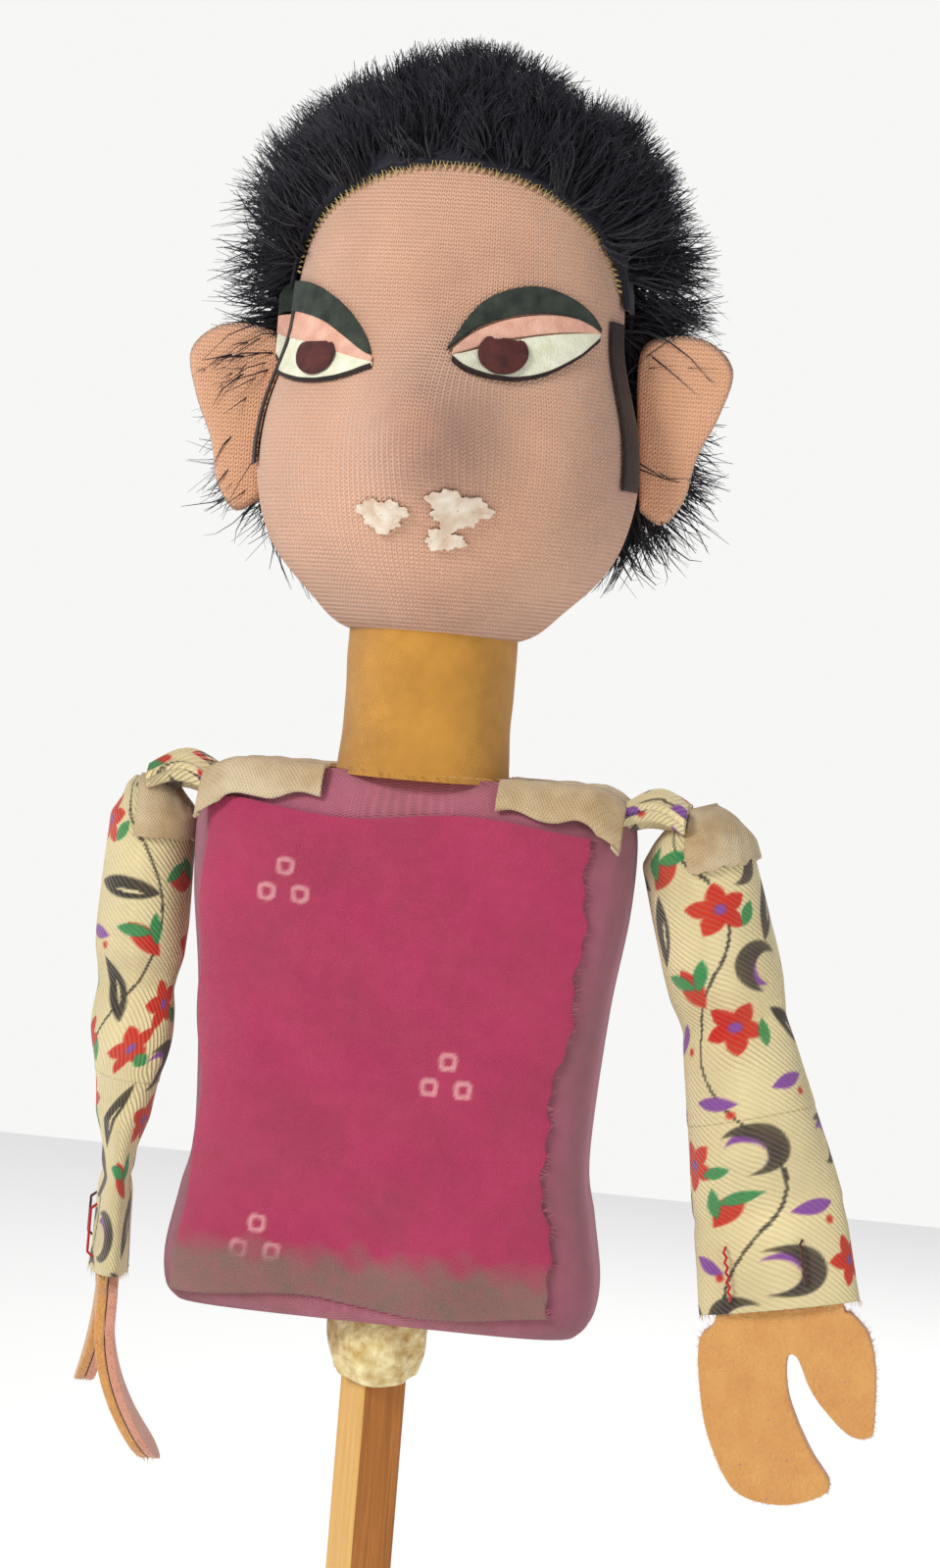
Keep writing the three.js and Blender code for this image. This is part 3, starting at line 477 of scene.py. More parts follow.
# Neck. A stuffed roll of mustard cotton, glued round the batten, its lower edge frayed over the trunk.
neck_rows = smooth_rows([[415.5, 28.2, 28.2], [419, 27.2, 27.2], [432, 26.5, 26.5], [450, 26.8, 26.8], [467, 26.6, 26.6]],
                        70)
neck_points = stack(neck_rows, 140, 2.0)
neck_fold = 0.5 * wobble(neck_points[..., 0] + 40, neck_points[..., 2], 24, 12)[..., None]
neck_points[..., :2] *= 1 + 0.02 * neck_fold
neck = grid_piece("neck_cover_cloth", neck_points, np.linspace(0, 168, 141), neck_rows[:, 0], (True, True))
neck_cotton = cotton_material("neck_cotton", (0.84, 0.60, 0.24), 1.0, (0.50, 0.30, 0.10), 0.35)
dress(neck, "figure", "neck_cotton", neck_cotton, "neck_cover", "neck_stuffing", fill=0.8)
around = rng.uniform(0, 2 * math.pi, 110)
ends = np.stack([28.3 * np.cos(around), 28.3 * np.sin(around), np.full(110, 417.6)], -1)
reach = rng.uniform(1.5, 5, 110)[:, None]
out = np.stack([np.cos(around), np.sin(around), np.full(110, -0.06)], -1)
neck_fray = strand_piece("neck_fray", ends, ends + out * reach, rng.normal(0, 0.5, (110, 3)) * [1, 1, 0.2],
                         np.full(110, 0.16), 6)
dress(neck_fray, "figure", "neck_cotton", thread_material("neck_thread", (0.86, 0.66, 0.32)))


# Head. Foam under knitted stockinette pulled over a padded nose; brown colour is sprayed on nose, cheek and chin, and
# painted shade darkens the nose's right side and the skin under it.
CHIN, CROWN = 459.0, 627.0
CHEEK_HALF, FACE_DEPTH, NAPE_DEPTH = 60.0, 55.0, 58.0
NOSE = (523.0, 24.0, 17.0, 20.0)
profile = smooth_rows([[0, 0], [0.45, 0.012], [0.68, 0.075], [0.9, 0.165], [1.0, 0.28], [0.99, 0.4], [0.88, 0.55],
                       [0.85, 0.68], [0.75, 0.83], [0.5, 0.945], [0, 1]], 400)
profile[:, 1] = np.maximum.accumulate(profile[:, 1])


def head_width(h):
    return np.interp(h, profile[:, 1], profile[:, 0])


def front_share(h):
    t = np.clip((h - 0.45) / 0.15, 0, 1)
    return 1 - 0.12 * t * t * (3 - 2 * t)


def nose_bump(x, z):
    return NOSE[1] * np.exp(-0.7 * ((x / NOSE[2]) ** 2 + ((z - NOSE[0]) / NOSE[3]) ** 2) ** 1.25)


def head_point(angle, h):
    w = head_width(h)
    x = CHEEK_HALF * w * np.cos(angle)
    deep = np.where(np.sin(angle) < 0, FACE_DEPTH * front_share(h), NAPE_DEPTH * (0.9 + 0.1 * np.minimum(1, 2 * h)))
    y = deep * w * np.sin(angle)
    z = CHIN + (CROWN - CHIN) * h + 0 * angle
    return np.stack([x, np.where(y < 0, y - nose_bump(x, z), y), z], -1)


def face_point(x, z, out):
    """The place on the front of the head seen at x and z, moved out of the skin by out mm."""
    def surface(px, pz):
        h = (pz - CHIN) / (CROWN - CHIN)
        c = np.clip(px / (CHEEK_HALF * head_width(h)), -0.995, 0.995)
        return -FACE_DEPTH * front_share(h) * head_width(h) * np.sqrt(1 - c * c) - nose_bump(px, pz)
    y = surface(x, z)
    slope_x = (surface(x + 0.5, z) - surface(x - 0.5, z)).clip(-2.5, 2.5)
    slope_z = (surface(x, z + 0.5) - surface(x, z - 0.5)).clip(-2.5, 2.5)
    normal = np.stack([slope_x, -np.ones_like(y), slope_z], -1)
    normal /= np.linalg.norm(normal, axis=-1, keepdims=True)
    return np.stack([x, y, z], -1) + normal * np.asarray(out)[..., None]


def blot(x, z, cx, cz, rx, rz, power=1.0):
    return np.exp(-((((x - cx) / rx) ** 2 + ((z - cz) / rz) ** 2) ** power))


SKIN = (0.92, 0.71, 0.58)
# The spray's brown, also used for the painted shade by the nose.
SPRAY_AND_SHADE = np.array([0.42, 0.29, 0.30])
level = np.sin(np.linspace(-math.pi / 2, math.pi / 2, 150)) * 0.5 + 0.5
level = 0.5 * level + 0.5 * np.linspace(0, 1, 150)
turn = np.linspace(0, 2 * math.pi, 240, endpoint=False)
head_points = head_point(turn[None, :], level[1:-1, None])
hx, hz, hy = head_points[..., 0], head_points[..., 2], head_points[..., 1]
# Darkening mask: sprayed brown on nose, left cheek, chin and brows, plus painted shadow right of and under the nose
# (the blot at x 14, z 512).
spray_and_shade_share = (0.5 * blot(hx, hz, 4, 519, 19, 22, 1.6) + 0.22 * blot(hx, hz, 14, 512, 9, 12)
               + 0.35 * blot(hx, hz, 54, 515, 12, 40) + 0.35 * blot(hx, hz, 4, 466, 34, 10)
               + 0.25 * blot(hx, hz, 2, 560, 9, 16) + 0.15 * blot(hx, hz, 24, 575, 20, 8))
spray_and_shade_share = np.where(hy < 0, spray_and_shade_share, 0.1) * (1 + 0.3 * wobble(hx, hz, 14, 31))
head_paint = 1 - np.clip(spray_and_shade_share, 0, 1)[..., None] * (1 - SPRAY_AND_SHADE / np.array(SKIN))
head = grid_piece("head_skin_knit", head_points, np.linspace(0, 376, 241), level[1:-1] * 205, (True, True), head_paint)


def knit_material(name, colour, wide=1.9, high=1.55, depth=0.55):
    """Stockinette: columns of V stitches, with painted shade in the holes between them."""
    s = Shading(name, 0.95, 0.35)
    u, v = s.flat()
    column = s.math("ABSOLUTE", s.math("SUBTRACT", s.math("FRACT", s.math("DIVIDE", u, wide)), 0.5))
    climb = s.math("MULTIPLY_ADD", column, 1.5, s.math("DIVIDE", v, high))
    leg = s.math("SINE", s.math("MULTIPLY", climb, 2 * math.pi))
    middle = s.math("SINE", s.math("MULTIPLY", column, 2 * math.pi))
    height = s.math("MULTIPLY_ADD", leg, 0.5, s.math("MULTIPLY", middle, 0.7))
    # Painted shade: the colour darkens where the knit is lowest, in the holes.
    hole_shade = s.math("MULTIPLY", s.math("SUBTRACT", 0.15, height), 0.8)
    hole_shade.node.use_clamp = True
    cloth = s.mix(1.0, s.paint(), linear(colour), "MULTIPLY")
    blotchy = s.mix(s.math("MULTIPLY", s.noise(16), 0.25), cloth, linear([c * 0.82 for c in colour]))
    return s.finish(s.mix(hole_shade, blotchy, linear([c * 0.55 for c in colour])), height, depth)


skin_knit = knit_material("knit_skin", SKIN)
dress(head, "figure", "knit_skin", skin_knit, "head_skin", "head_core", "nose_pad", fill=0.9)


# Eyes. White, lid, iris and brow are cut from painted cloth and felt, and glued on the knit one over another.
def lamina(name, x, z, out, thickness, paint=None):
    """A thin glued-on piece that follows the face, from rows of x and z in mm."""
    outer = face_point(x, z, np.full(x.shape, out + thickness) + 0.12 * wobble(x, z, 7, 2))
    piece = grid_piece(name, outer, x[0] if x.ndim > 1 else x, z[:, 0], (False, False), paint, round=False)
    return thicken(piece, thickness, -1.0)


def between(name, spine, columns, rows, out, thickness):
    """A piece between a lower and an upper curve, given as x, low z and high z down its length."""
    line = smooth_rows(spine, columns)
    share = np.linspace(0, 1, rows)[:, None]
    x = line[None, :, 0] + 0 * share
    z = line[None, :, 1] * (1 - share) + line[None, :, 2] * share
    return lamina(name, x, z, out, thickness)


def painted_material(name, colour, mottled, roughness=0.65, grain=0.7):
    s = Shading(name, roughness, 0.1)
    crackle = s.noise(grain, 5)
    soft = s.mix(s.noise(5, 4), linear(colour), linear(mottled))
    return s.finish(soft, crackle, 0.25, 0.6)


eye_white_paint = painted_material("eye_white", (0.95, 0.95, 0.86), (0.86, 0.85, 0.72))
iris_paint = painted_material("iris", (0.38, 0.18, 0.16), (0.26, 0.11, 0.12))
eyelid_paint = painted_material("eyelid", (0.93, 0.74, 0.65), (0.85, 0.62, 0.53))
brow_felt = painted_material("brow", (0.25, 0.28, 0.24), (0.15, 0.17, 0.16), 0.95, 0.5)
eye_outline = painted_material("eye_outline", (0.20, 0.13, 0.12), (0.12, 0.08, 0.08))
EYES = {
    "left": {
        "white": [[7.2, 543.2, 544.1], [11.4, 540.5, 546], [17.9, 539.1, 549.4], [25.8, 539.4, 552.4],
                  [33.8, 542.4, 554.8], [41.4, 548.7, 556.6], [46.3, 555.6, 557.4]],
        "lid": [[6.8, 544.1, 546.1], [11.4, 546.8, 552.2], [19, 550.7, 557.2], [28.5, 553.9, 560.2],
                [38.1, 556.2, 561], [46.2, 557.4, 558.9]],
        "brow": [[5.3, 545.6, 546.9], [8.4, 550.4, 556], [13.2, 555.1, 563], [20.8, 558.8, 567.4], [29.2, 561, 569],
                 [37.6, 561.3, 566.9], [43.3, 559.5, 563.1], [46.2, 557.7, 558.9]],
        "iris": (20.4, 546.4, 7, 6.8, 550.9),
    },
    "right": {
        "white": [[-57, 545.2, 552.1], [-52.8, 539.2, 551.6], [-45, 536.2, 548.9], [-37, 535.4, 546.6],
                  [-27.8, 536.6, 543.9], [-21.2, 538.5, 541.7], [-17, 539.7, 540.7]],
        "lid": [[-57.2, 552.1, 557.7], [-47.8, 549.2, 558.4], [-37.1, 546.2, 555.1], [-27.4, 543.3, 549.7],
                [-17.4, 540.7, 542.3]],
        "brow": [[-57.2, 557.7, 564.4], [-53.8, 559.2, 568.1], [-44.8, 557.3, 567.2], [-36.6, 554.2, 563.7],
                 [-28.8, 549.1, 558.1], [-22.5, 544.9, 550.7], [-18.7, 543, 544.3]],
        "iris": (-37.3, 543, 6.8, 6.2, 546.9),
    },
}
for side, eye in EYES.items():
    white = between(f"{side}_eye_white_cloth", eye["white"], 70, 30, 0.35, 0.7)
    dress(white, "figure", "eye_white", eye_white_paint, f"{side}_eye_white")
    lid = between(f"{side}_eyelid_cloth", eye["lid"], 70, 16, 0.5, 0.8)
    dress(lid, "figure", "eyelid", eyelid_paint, f"{side}_eyelid")
    brow = between(f"{side}_brow_felt", eye["brow"], 70, 24, 0.4, 1.2)
    dress(brow, "figure", "brow", brow_felt, f"{side}_brow")
    cx, cz, rx, rz, lid_line = eye["iris"]
    around_iris = np.linspace(0, 2 * math.pi, 60)
    radius = np.linspace(0.02, 1, 16)[:, None]
    iris_x = cx + rx * radius * np.cos(around_iris)[None, :]
    iris_z = np.minimum(cz + rz * radius * np.sin(around_iris)[None, :], lid_line)
    iris = lamina(f"{side}_iris_cloth", iris_x, iris_z, 1.15, 0.5)
    dress(iris, "figure", "iris", iris_paint, f"{side}_iris")
    lower = smooth_rows(eye["white"], 70)
    edge_share = np.linspace(-0.7, 0.5, 5)[:, None]
    line_x = lower[None, :, 0] + 0 * edge_share
    line = lamina(f"{side}_eye_outline", line_x, lower[None, :, 1] + edge_share, 0.5, 0.75)
    dress(line, "figure", "iris", eye_outline)


# Mouth. Only dried white glue is left where a cloth mouth was stuck on; it is kept as three flaky patches.
glue_flakes = painted_material("glue_flakes", (0.93, 0.89, 0.82), (0.80, 0.68, 0.57), 0.7, 0.9)
for index, (cx, cz, rx, rz) in enumerate([(-9.9, 496, 7.4, 4.6), (12.5, 499, 8.4, 5.4), (8.6, 490, 5.6, 3)]):
    a = np.linspace(0, 2 * math.pi, 110)[None, :]
    r = np.linspace(0.03, 1, 22)[:, None]
    ragged = 1 + 0.16 * np.sin(3 * a + index) + 0.10 * np.sin(7 * a + 2 * index) + 0.06 * np.sin(17 * a)
    flake = lamina(f"mouth_glue_{index + 1}", cx + rx * r * ragged * np.cos(a), cz + rz * r * ragged * np.sin(a), 0.15, 0.55)
    dress(flake, "figure", "eye_white", glue_flakes)


# Ears and sideburns. Each ear is a flat knitted leaf sewn to the side of the head, with a dark strip before it.
EAR_EDGE = [[61.2, 505], [68.5, 501.2], [75, 509.5], [78, 523], [84, 537], [87, 551], [79, 559.6], [67, 560.6],
            [57.5, 555], [58.5, 530], [61.2, 505]]
ear_knit = knit_material("ear_knit", (0.92, 0.69, 0.54), 1.7, 1.4, 0.4)
sideburn_tape = painted_material("sideburn", (0.17, 0.12, 0.11), (0.10, 0.07, 0.08), 0.5, 2.0)
for side, sign in (("left", 1), ("right", -1)):
    rim = smooth_rows(EAR_EDGE, 121)[:-1]
    middle = np.array([70.5, 533.0])
    rings = []
    for share, puff in ((0.02, 1.0), (0.4, 0.92), (0.7, 0.72), (0.9, 0.4), (1.0, 0.0)):
        flat = middle + (rim - middle) * share
        rings.append(np.stack([flat[:, 0], 5.8 - 1.9 * puff - 1.0 * np.sin((flat[:, 1] - 500) / 19), flat[:, 1]], -1))
    for share, puff in ((0.9, 0.4), (0.7, 0.7), (0.4, 0.9), (0.02, 1.0)):
        flat = middle + (rim - middle) * share
        rings.append(np.stack([flat[:, 0], 5.8 + 1.7 * puff - 1.0 * np.sin((flat[:, 1] - 500) / 19), flat[:, 1]], -1))
    ear_points = np.array(rings)
    ear_points[..., 0] *= sign
    ear_points[..., 2] -= 5.5 if sign < 0 else 0
    if sign < 0:
        ear_points = ear_points[:, ::-1]
    ear = grid_piece(f"{side}_ear_knit", ear_points, np.linspace(0, 150, 121), np.linspace(0, 60, 9), (True, True))
    flat_map = ear.data.uv_layers["flat"]
    for loop in ear.data.loops:
        spot = ear.data.vertices[loop.vertex_index].co / MM
        flat_map.data[loop.index].uv = (spot.x, spot.z)
    bpy.context.view_layer.objects.active = ear
    ear.select_set(True)
    bpy.ops.object.mode_set(mode="EDIT")
    bpy.ops.mesh.select_all(action="SELECT")
    bpy.ops.mesh.normals_make_consistent(inside=False)
    bpy.ops.object.mode_set(mode="OBJECT")
    ear.select_set(False)
    dress(ear, "figure", "ear_knit", ear_knit, f"{side}_ear", fill=0.4)
    tape_h = (np.linspace(510, 562, 60)[:, None] - CHIN) / (CROWN - CHIN)
    tape_angle = -np.linspace(0.13, 0.36, 12)[None, :]
    tape_points = head_point(tape_angle if sign > 0 else math.pi - tape_angle, tape_h)
    tape_points[..., :2] *= 1.017
    if sign > 0:
        tape_points = tape_points[:, ::-1]
    tape = grid_piece(f"{side}_sideburn_tape", tape_points, np.linspace(0, 12, 12), tape_h[:, 0] * 168, (False, False),
                      round=False)
    thicken(tape, 0.6)
    dress(tape, "figure", "sideburn", sideburn_tape, f"{side}_sideburn")


# Wig. Long dark pile on a cloth back, cut to an arch over the brow and sewn round the hairline with cream thread.
HAIRLINE_Z, TEMPLE_Z, HAIRLINE_HALF, NAPE_Z = 604.5, 566.0, 52.0, 508.0
PILE = 21.0
hair_rng = np.random.default_rng(77)


def in_wig(points):
    x, y, z = points[..., 0], points[..., 1], points[..., 2]
    arch = TEMPLE_Z + (HAIRLINE_Z - TEMPLE_Z) * np.sqrt(np.clip(1 - (x / HAIRLINE_HALF) ** 2, 0, 1))
    return np.where(y > 9, z > NAPE_Z, z > arch)


cap_level = np.linspace(0.28, 0.995, 110)
cap_turn = np.linspace(0, 2 * math.pi, 200, endpoint=False)
cap_points = head_point(cap_turn[None, :], cap_level[:, None])
cap_points[..., :2] *= 1.03
cap_points[..., 2] += 3.0 * np.clip((cap_points[..., 2] - 590) / 37, 0, 1)
cap_mesh = bpy.data.meshes.new("wig_cloth")
columns = len(cap_turn)
kept = in_wig(cap_points)
cap_faces = []
for j in range(len(cap_level) - 1):
    for i in range(columns):
        k = (i + 1) % columns
        if kept[j, i] and kept[j, k] and kept[j + 1, i] and kept[j + 1, k]:
            cap_faces.append([j * columns + i, j * columns + k, (j + 1) * columns + k, (j + 1) * columns + i])
cap_faces.append([(len(cap_level) - 1) * columns + i for i in range(columns)])
used = sorted({v for f in cap_faces for v in f})
renumber = {old: new for new, old in enumerate(used)}
cap_mesh.from_pydata((cap_points.reshape(-1, 3)[used] * MM).tolist(), [], [[renumber[v] for v in f] for f in cap_faces])
cap_mesh.shade_smooth()
cap = bpy.data.objects.new("wig_cloth", cap_mesh)
scene.collection.objects.link(cap)
thicken(cap, 1.5)
hair_shade = Shading("wig_pile", 0.55, 0.15)
streaky = hair_shade.mix(hair_shade.noise(3, 4), linear((0.035, 0.035, 0.07)), linear((0.10, 0.10, 0.16)))
wig_pile = hair_shade.finish(streaky, hair_shade.noise(0.5, 2), 0.1, 0.3)
dress(cap, "figure", "wig_pile", wig_pile, "wig")
CLUMPS, LOCKS = 6, 4900


def waves(points, size, seed):
    """Three smooth waves over the head, which comb the pile into clumps."""
    return np.stack([wobble(points[:, 0] + 0.7 * points[:, 1], points[:, 2], size, seed + k) for k in range(3)], -1)


for clump in range(CLUMPS):
    h = 1 - hair_rng.beta(1.0, 1.6, LOCKS * 3) * 0.72
    a = hair_rng.uniform(0, 2 * math.pi, LOCKS * 3)
    here = head_point(a, np.clip(h, 0.28, 0.992))
    here = here[in_wig(here)][:LOCKS]
    out = here - np.array([0, 2.0, 545.0])
    out[:, 2] *= 0.8
    out /= np.linalg.norm(out, axis=1, keepdims=True)
    combed = out + 0.95 * waves(here, 24, 40) + 0.45 * waves(here, 11, 60) + 0.12 * hair_rng.normal(size=out.shape)
    at_side = np.clip((610 - here[:, 2]) / 40, 0, 1)
    combed[:, 2] -= 0.45 * at_side
    forward = (here[:, 1] < 0) & (here[:, 2] < 622)
    combed[forward, 2] += 0.25
    combed /= np.linalg.norm(combed, axis=1, keepdims=True)
    inward = np.minimum((combed * out).sum(1) - 0.25, 0)
    combed -= out * inward[:, None]
    length = hair_rng.uniform(0.7, 1.2, len(here)) * (PILE - 1 + 9 * np.clip((620 - here[:, 2]) / 50, 0, 1))
    length = np.where(forward & (np.abs(here[:, 0]) < 45), length * 0.8, length)
    tips = here + combed * length[:, None]
    sag = (0.30 * waves(here, 15, 80) + 0.05 * hair_rng.normal(size=tips.shape)) * length[:, None]
    locks = strand_piece(f"wig_locks_{clump + 1}", here, tips, sag, hair_rng.uniform(0.28, 0.7, len(here)), clump)
    dress(locks, "figure", "wig_pile", wig_pile)
TUFTS = 3400
tuft_side = np.where(hair_rng.random(TUFTS) < 0.62, -1.0, 1.0)
tuft_h = hair_rng.uniform(0.27, 0.52, TUFTS)
turned_back = hair_rng.uniform(0.42, 1.35, TUFTS)
tuft_roots = head_point(np.where(tuft_side > 0, turned_back, math.pi - turned_back), tuft_h)
fall = hair_rng.uniform(14, 38, TUFTS) * np.where(tuft_side < 0, 1.1, 0.8)
drift = waves(tuft_roots, 16, 90)
under = head_point(np.where(tuft_side > 0, turned_back, math.pi - turned_back), np.clip(tuft_h - fall / 168, 0.05, 1))
outwards = under * [1, 1, 0]
outwards /= np.linalg.norm(outwards, axis=1, keepdims=True)
tuft_tips = under + outwards * hair_rng.uniform(3, 15, (TUFTS, 1)) + drift * 5
tufts = strand_piece("wig_tufts", tuft_roots, tuft_tips, outwards * 5 + drift * 3, hair_rng.uniform(0.25, 0.6, TUFTS), 9)
dress(tufts, "figure", "wig_pile", wig_pile)


def thread_line(name, path, radius_mm, body, slot_name, material, closed=False):
    """A sewn thread along mm points, as a closed tube."""
    curve = bpy.data.curves.new(name, "CURVE")
    curve.dimensions = "3D"
    spline = curve.splines.new("POLY")
    spline.points.add(len(path) - 1)
    for point, spot in zip(spline.points, path):
        point.co = (*(np.array(spot) * MM), 1)
    spline.use_cyclic_u = closed
    curve.bevel_depth = radius_mm * MM
    curve.bevel_resolution = 1
    curve.use_fill_caps = True
    piece = bpy.data.objects.new(name, curve)
    scene.collection.objects.link(piece)
    bpy.context.view_layer.objects.active = piece
    piece.select_set(True)
    bpy.ops.object.convert(target="MESH")
    piece = bpy.context.object
    piece.select_set(False)
    return dress(piece, body, slot_name, material)


arch_angle = np.linspace(math.radians(8), math.radians(172), 130)
zig = np.where(np.arange(130) % 2 == 0, 1.7, -1.7)
stitch_x = (HAIRLINE_HALF + zig) * np.cos(arch_angle)
stitch_z = TEMPLE_Z + (HAIRLINE_Z - TEMPLE_Z + zig) * np.sin(arch_angle)
stitches = face_point(stitch_x, stitch_z, np.where(zig > 0, 2.2, 0.6))
cream_thread = thread_material("hairline_thread", (0.90, 0.82, 0.52), 0.6)
thread_line("hairline_stitches", stitches, 0.42, "figure", "raw_cotton", cream_thread)


# Shoulder strips. Torn strips of raw cotton, stained with glue, stuck over the top of the trunk and the arm's seam.
raw_cotton = cotton_material("raw_cotton", (0.84, 0.76, 0.62), 1.1, (0.62, 0.44, 0.16), 0.75)
for side, sign in (("left", 1), ("right", -1)):
    across = np.linspace(-28.5, 28.5, 80)
    along = np.linspace(27.5, 67.2, 70)
    px = along[None, :] + 0 * across[:, None]
    ragged = across[:, None] * (1 + 0.02 * np.sin(px / 3.1))
    depth = np.interp(px, [27, 58, 68], [21, 19.5, 17])
    pz = 417.8 - 3.4 * np.clip((np.abs(ragged) - depth) / 8, 0, 1.2) ** 1.5 * 3 - 6.5 * np.clip((px - 55) / 13, 0, 1) ** 2
    pz = pz + 0.5 * wobble(px, ragged, 15, 17 + sign)
    py = np.sign(ragged) * np.minimum(np.abs(ragged), 26.9)
    strip_points = np.stack([sign * px, py, pz], -1)
    strip_points = strip_points if sign > 0 else strip_points[:, ::-1]
    strip = grid_piece(f"{side}_shoulder_strip_cloth", strip_points, along, across, (False, False), round=False)
    thicken(strip, 1.0, -1.0)
    dress(strip, "figure", "raw_cotton", raw_cotton, f"{side}_shoulder_strip")


# Sleeves. Cream twill printed with a loose vine of leaves, buds and crescents, sewn as tubes and stuffed with rag.
# Each runs from the shoulder over an unstuffed elbow; a second piece runs from mid forearm over the wrist's fold.
SHOULDER = np.array([74.0, 0.0, 412.0])
ELBOW_DOWN, WRIST_DOWN, CUFF_END = 71.0, 131.0, 161.0
ARMS = {
    "left": {"sign": 1, "offset": 10.2, "leans": (17.5, 15.1, 11.1), "wide": 18.0, "deep": 14.0, "fore": (22.0, 13.5),
             "twist": 0.0, "seed": 3},
    "right": {"sign": -1, "offset": 11.3, "leans": (1.5, 1.5, 0.5), "wide": 14.0, "deep": 16.0, "fore": (21.0, 9.0),
              "twist": 76.0, "seed": 11},
}
CREAM = (0.92, 0.85, 0.65)
RED, GREEN, PURPLE, CHARCOAL = (0.82, 0.12, 0.10), (0.16, 0.56, 0.32), (0.52, 0.27, 0.64), (0.20, 0.20, 0.19)


def leaf(u, v, cx, cy, length, width, angle):
    """1 inside a pointed leaf."""
    a = math.radians(angle)
    p = ((u - cx) * math.cos(a) + (v - cy) * math.sin(a)) / length
    q = (-(u - cx) * math.sin(a) + (v - cy) * math.cos(a)) / width
    return np.clip((1 - p * p - np.abs(q)) * 5, 0, 1) * (np.abs(p) < 1)


def crescent(u, v, cx, cy, radius, angle):
    a = math.radians(angle)
    far = np.hypot(u - cx, v - cy)
    bite = np.hypot(u - cx - 0.55 * radius * math.cos(a), v - cy - 0.55 * radius * math.sin(a))
    return np.clip((radius - far) * 1.6, 0, 1) * np.clip((bite - 0.78 * radius) * 1.6, 0, 1)


def vine_print(u, v, seed, around):
    """A made-up vine print in the cloth's own mm: motifs lie on a loose lattice, joined by thin curling lines."""
    shades = np.ones(u.shape + (3,)) * np.array(CREAM)

    def lay(mask, colour):
        nonlocal shades
        shades = shades * (1 - mask[..., None]) + np.array(colour) * mask[..., None]

    vine = np.abs(u - around * 0.25 - 9 * np.sin(v / 15 + seed)) < 0.45
    lay(0.9 * vine, CHARCOAL)
    vine = np.abs(u - around * 0.72 - 8 * np.sin(v / 13 + 2 + seed)) < 0.4
    lay(0.9 * vine, CHARCOAL)
    draw = np.random.default_rng(seed)
    step = 20.0
    for row in range(-1, 12):
        for column in range(int(around / step) + 2):
            cx = (column + 0.5 * (row % 2)) * step + draw.uniform(-2.5, 2.5)
            cy = row * step * 0.92 + draw.uniform(-2.5, 2.5)
            kind = draw.integers(0, 5)
            angle = draw.uniform(0, 180)
            if kind == 0:
                lay(leaf(u, v, cx, cy, 12, 3.8, angle), CHARCOAL)
                lay(leaf(u, v, cx + 1, cy + 1, 5, 0.7, angle), CREAM)
            elif kind == 1:
                for petal in range(5):
                    a = math.radians(72 * petal + angle)
                    lay(leaf(u, v, cx + 4.2 * math.cos(a), cy + 4.2 * math.sin(a), 4.6, 2.9, 72 * petal + angle), RED)
                lay(np.clip(2.2 - np.hypot(u - cx, v - cy), 0, 1), PURPLE)
                lay(leaf(u, v, cx + 8, cy + 3, 4.5, 2.2, angle), GREEN)
            elif kind == 2:
                lay(crescent(u, v, cx, cy, 6.5, angle), PURPLE)
                lay(crescent(u, v, cx, cy, 8.4, angle + 20) * 0.9, CHARCOAL)
            elif kind == 3:
                lay(leaf(u, v, cx, cy, 7.5, 4.0, angle), RED)
                lay(leaf(u, v, cx + 3.4, cy - 3.6, 5.6, 2.3, angle + 40), GREEN)
                lay(leaf(u, v, cx - 3.4, cy - 2.6, 5.6, 2.3, angle - 40), GREEN)
            else:
                lay(leaf(u, v, cx, cy, 6.5, 2.4, angle), PURPLE)
                lay(np.clip(1.6 - np.hypot(u - cx - 4, v - cy - 4), 0, 1), RED)
    return shades * (1 + 0.05 * wobble(u, v, 40, seed)[..., None])


def twill_material():
    s = Shading("printed_twill", 0.85, 0.25)
    u, v = s.flat()
    rib = s.math("SINE", s.math("MULTIPLY", s.math("ADD", u, v), 2 * math.pi / 2.0))
    thread = s.math("SINE", s.math("MULTIPLY", s.math("SUBTRACT", u, v), 2 * math.pi / 0.7))
    height = s.math("MULTIPLY_ADD", thread, 0.15, rib)
    # Painted shade in the grooves between the ribs.
    groove_shade = s.math("MULTIPLY", s.math("SUBTRACT", 0.0, rib), 0.22)
    groove_shade.node.use_clamp = True
    seen = s.tree.nodes.new("ShaderNodeGamma")
    s.put(s.paint(), seen.inputs[0])
    seen.inputs[1].default_value = 2.2
    worn = s.mix(s.math("MULTIPLY", s.noise(12), 0.14), seen.outputs[0], linear((0.70, 0.58, 0.36)))
    return s.finish(s.mix(groove_shade, worn, linear((0.62, 0.52, 0.34))), height, 0.35)


printed_twill = twill_material()


def arm_axes(arm, down):
    """Centre and outward axis of the hanging arm at distances below the shoulder's hinge."""
    upper, fore, hand = (math.radians(a) for a in arm["leans"])
    elbow_share = np.clip((down - ELBOW_DOWN + 8) / 16, 0, 1)
    wrist_share = np.clip((down - WRIST_DOWN + 5) / 10, 0, 1)
    lean = upper + (fore - upper) * elbow_share + (hand - fore) * wrist_share

    def way(a):
        return np.array([math.sin(a), 0, -math.cos(a)])
    side_way = np.array([math.cos(upper), 0, math.sin(upper)])
    elbow = SHOULDER + way(upper) * ELBOW_DOWN + side_way * arm["offset"]
    wrist = elbow + way(fore) * (WRIST_DOWN - ELBOW_DOWN)
    top = SHOULDER + side_way * arm["offset"]
    spots = []
    for d in down:
        if d < ELBOW_DOWN:
            spots.append(top + way(upper) * d)
        elif d < WRIST_DOWN:
            spots.append(elbow + way(fore) * (d - ELBOW_DOWN))
        else:
            spots.append(wrist + way(hand) * (d - WRIST_DOWN))
    outward = np.stack([np.cos(lean), 0 * lean, np.sin(lean)], -1)
    return np.array(spots), outward


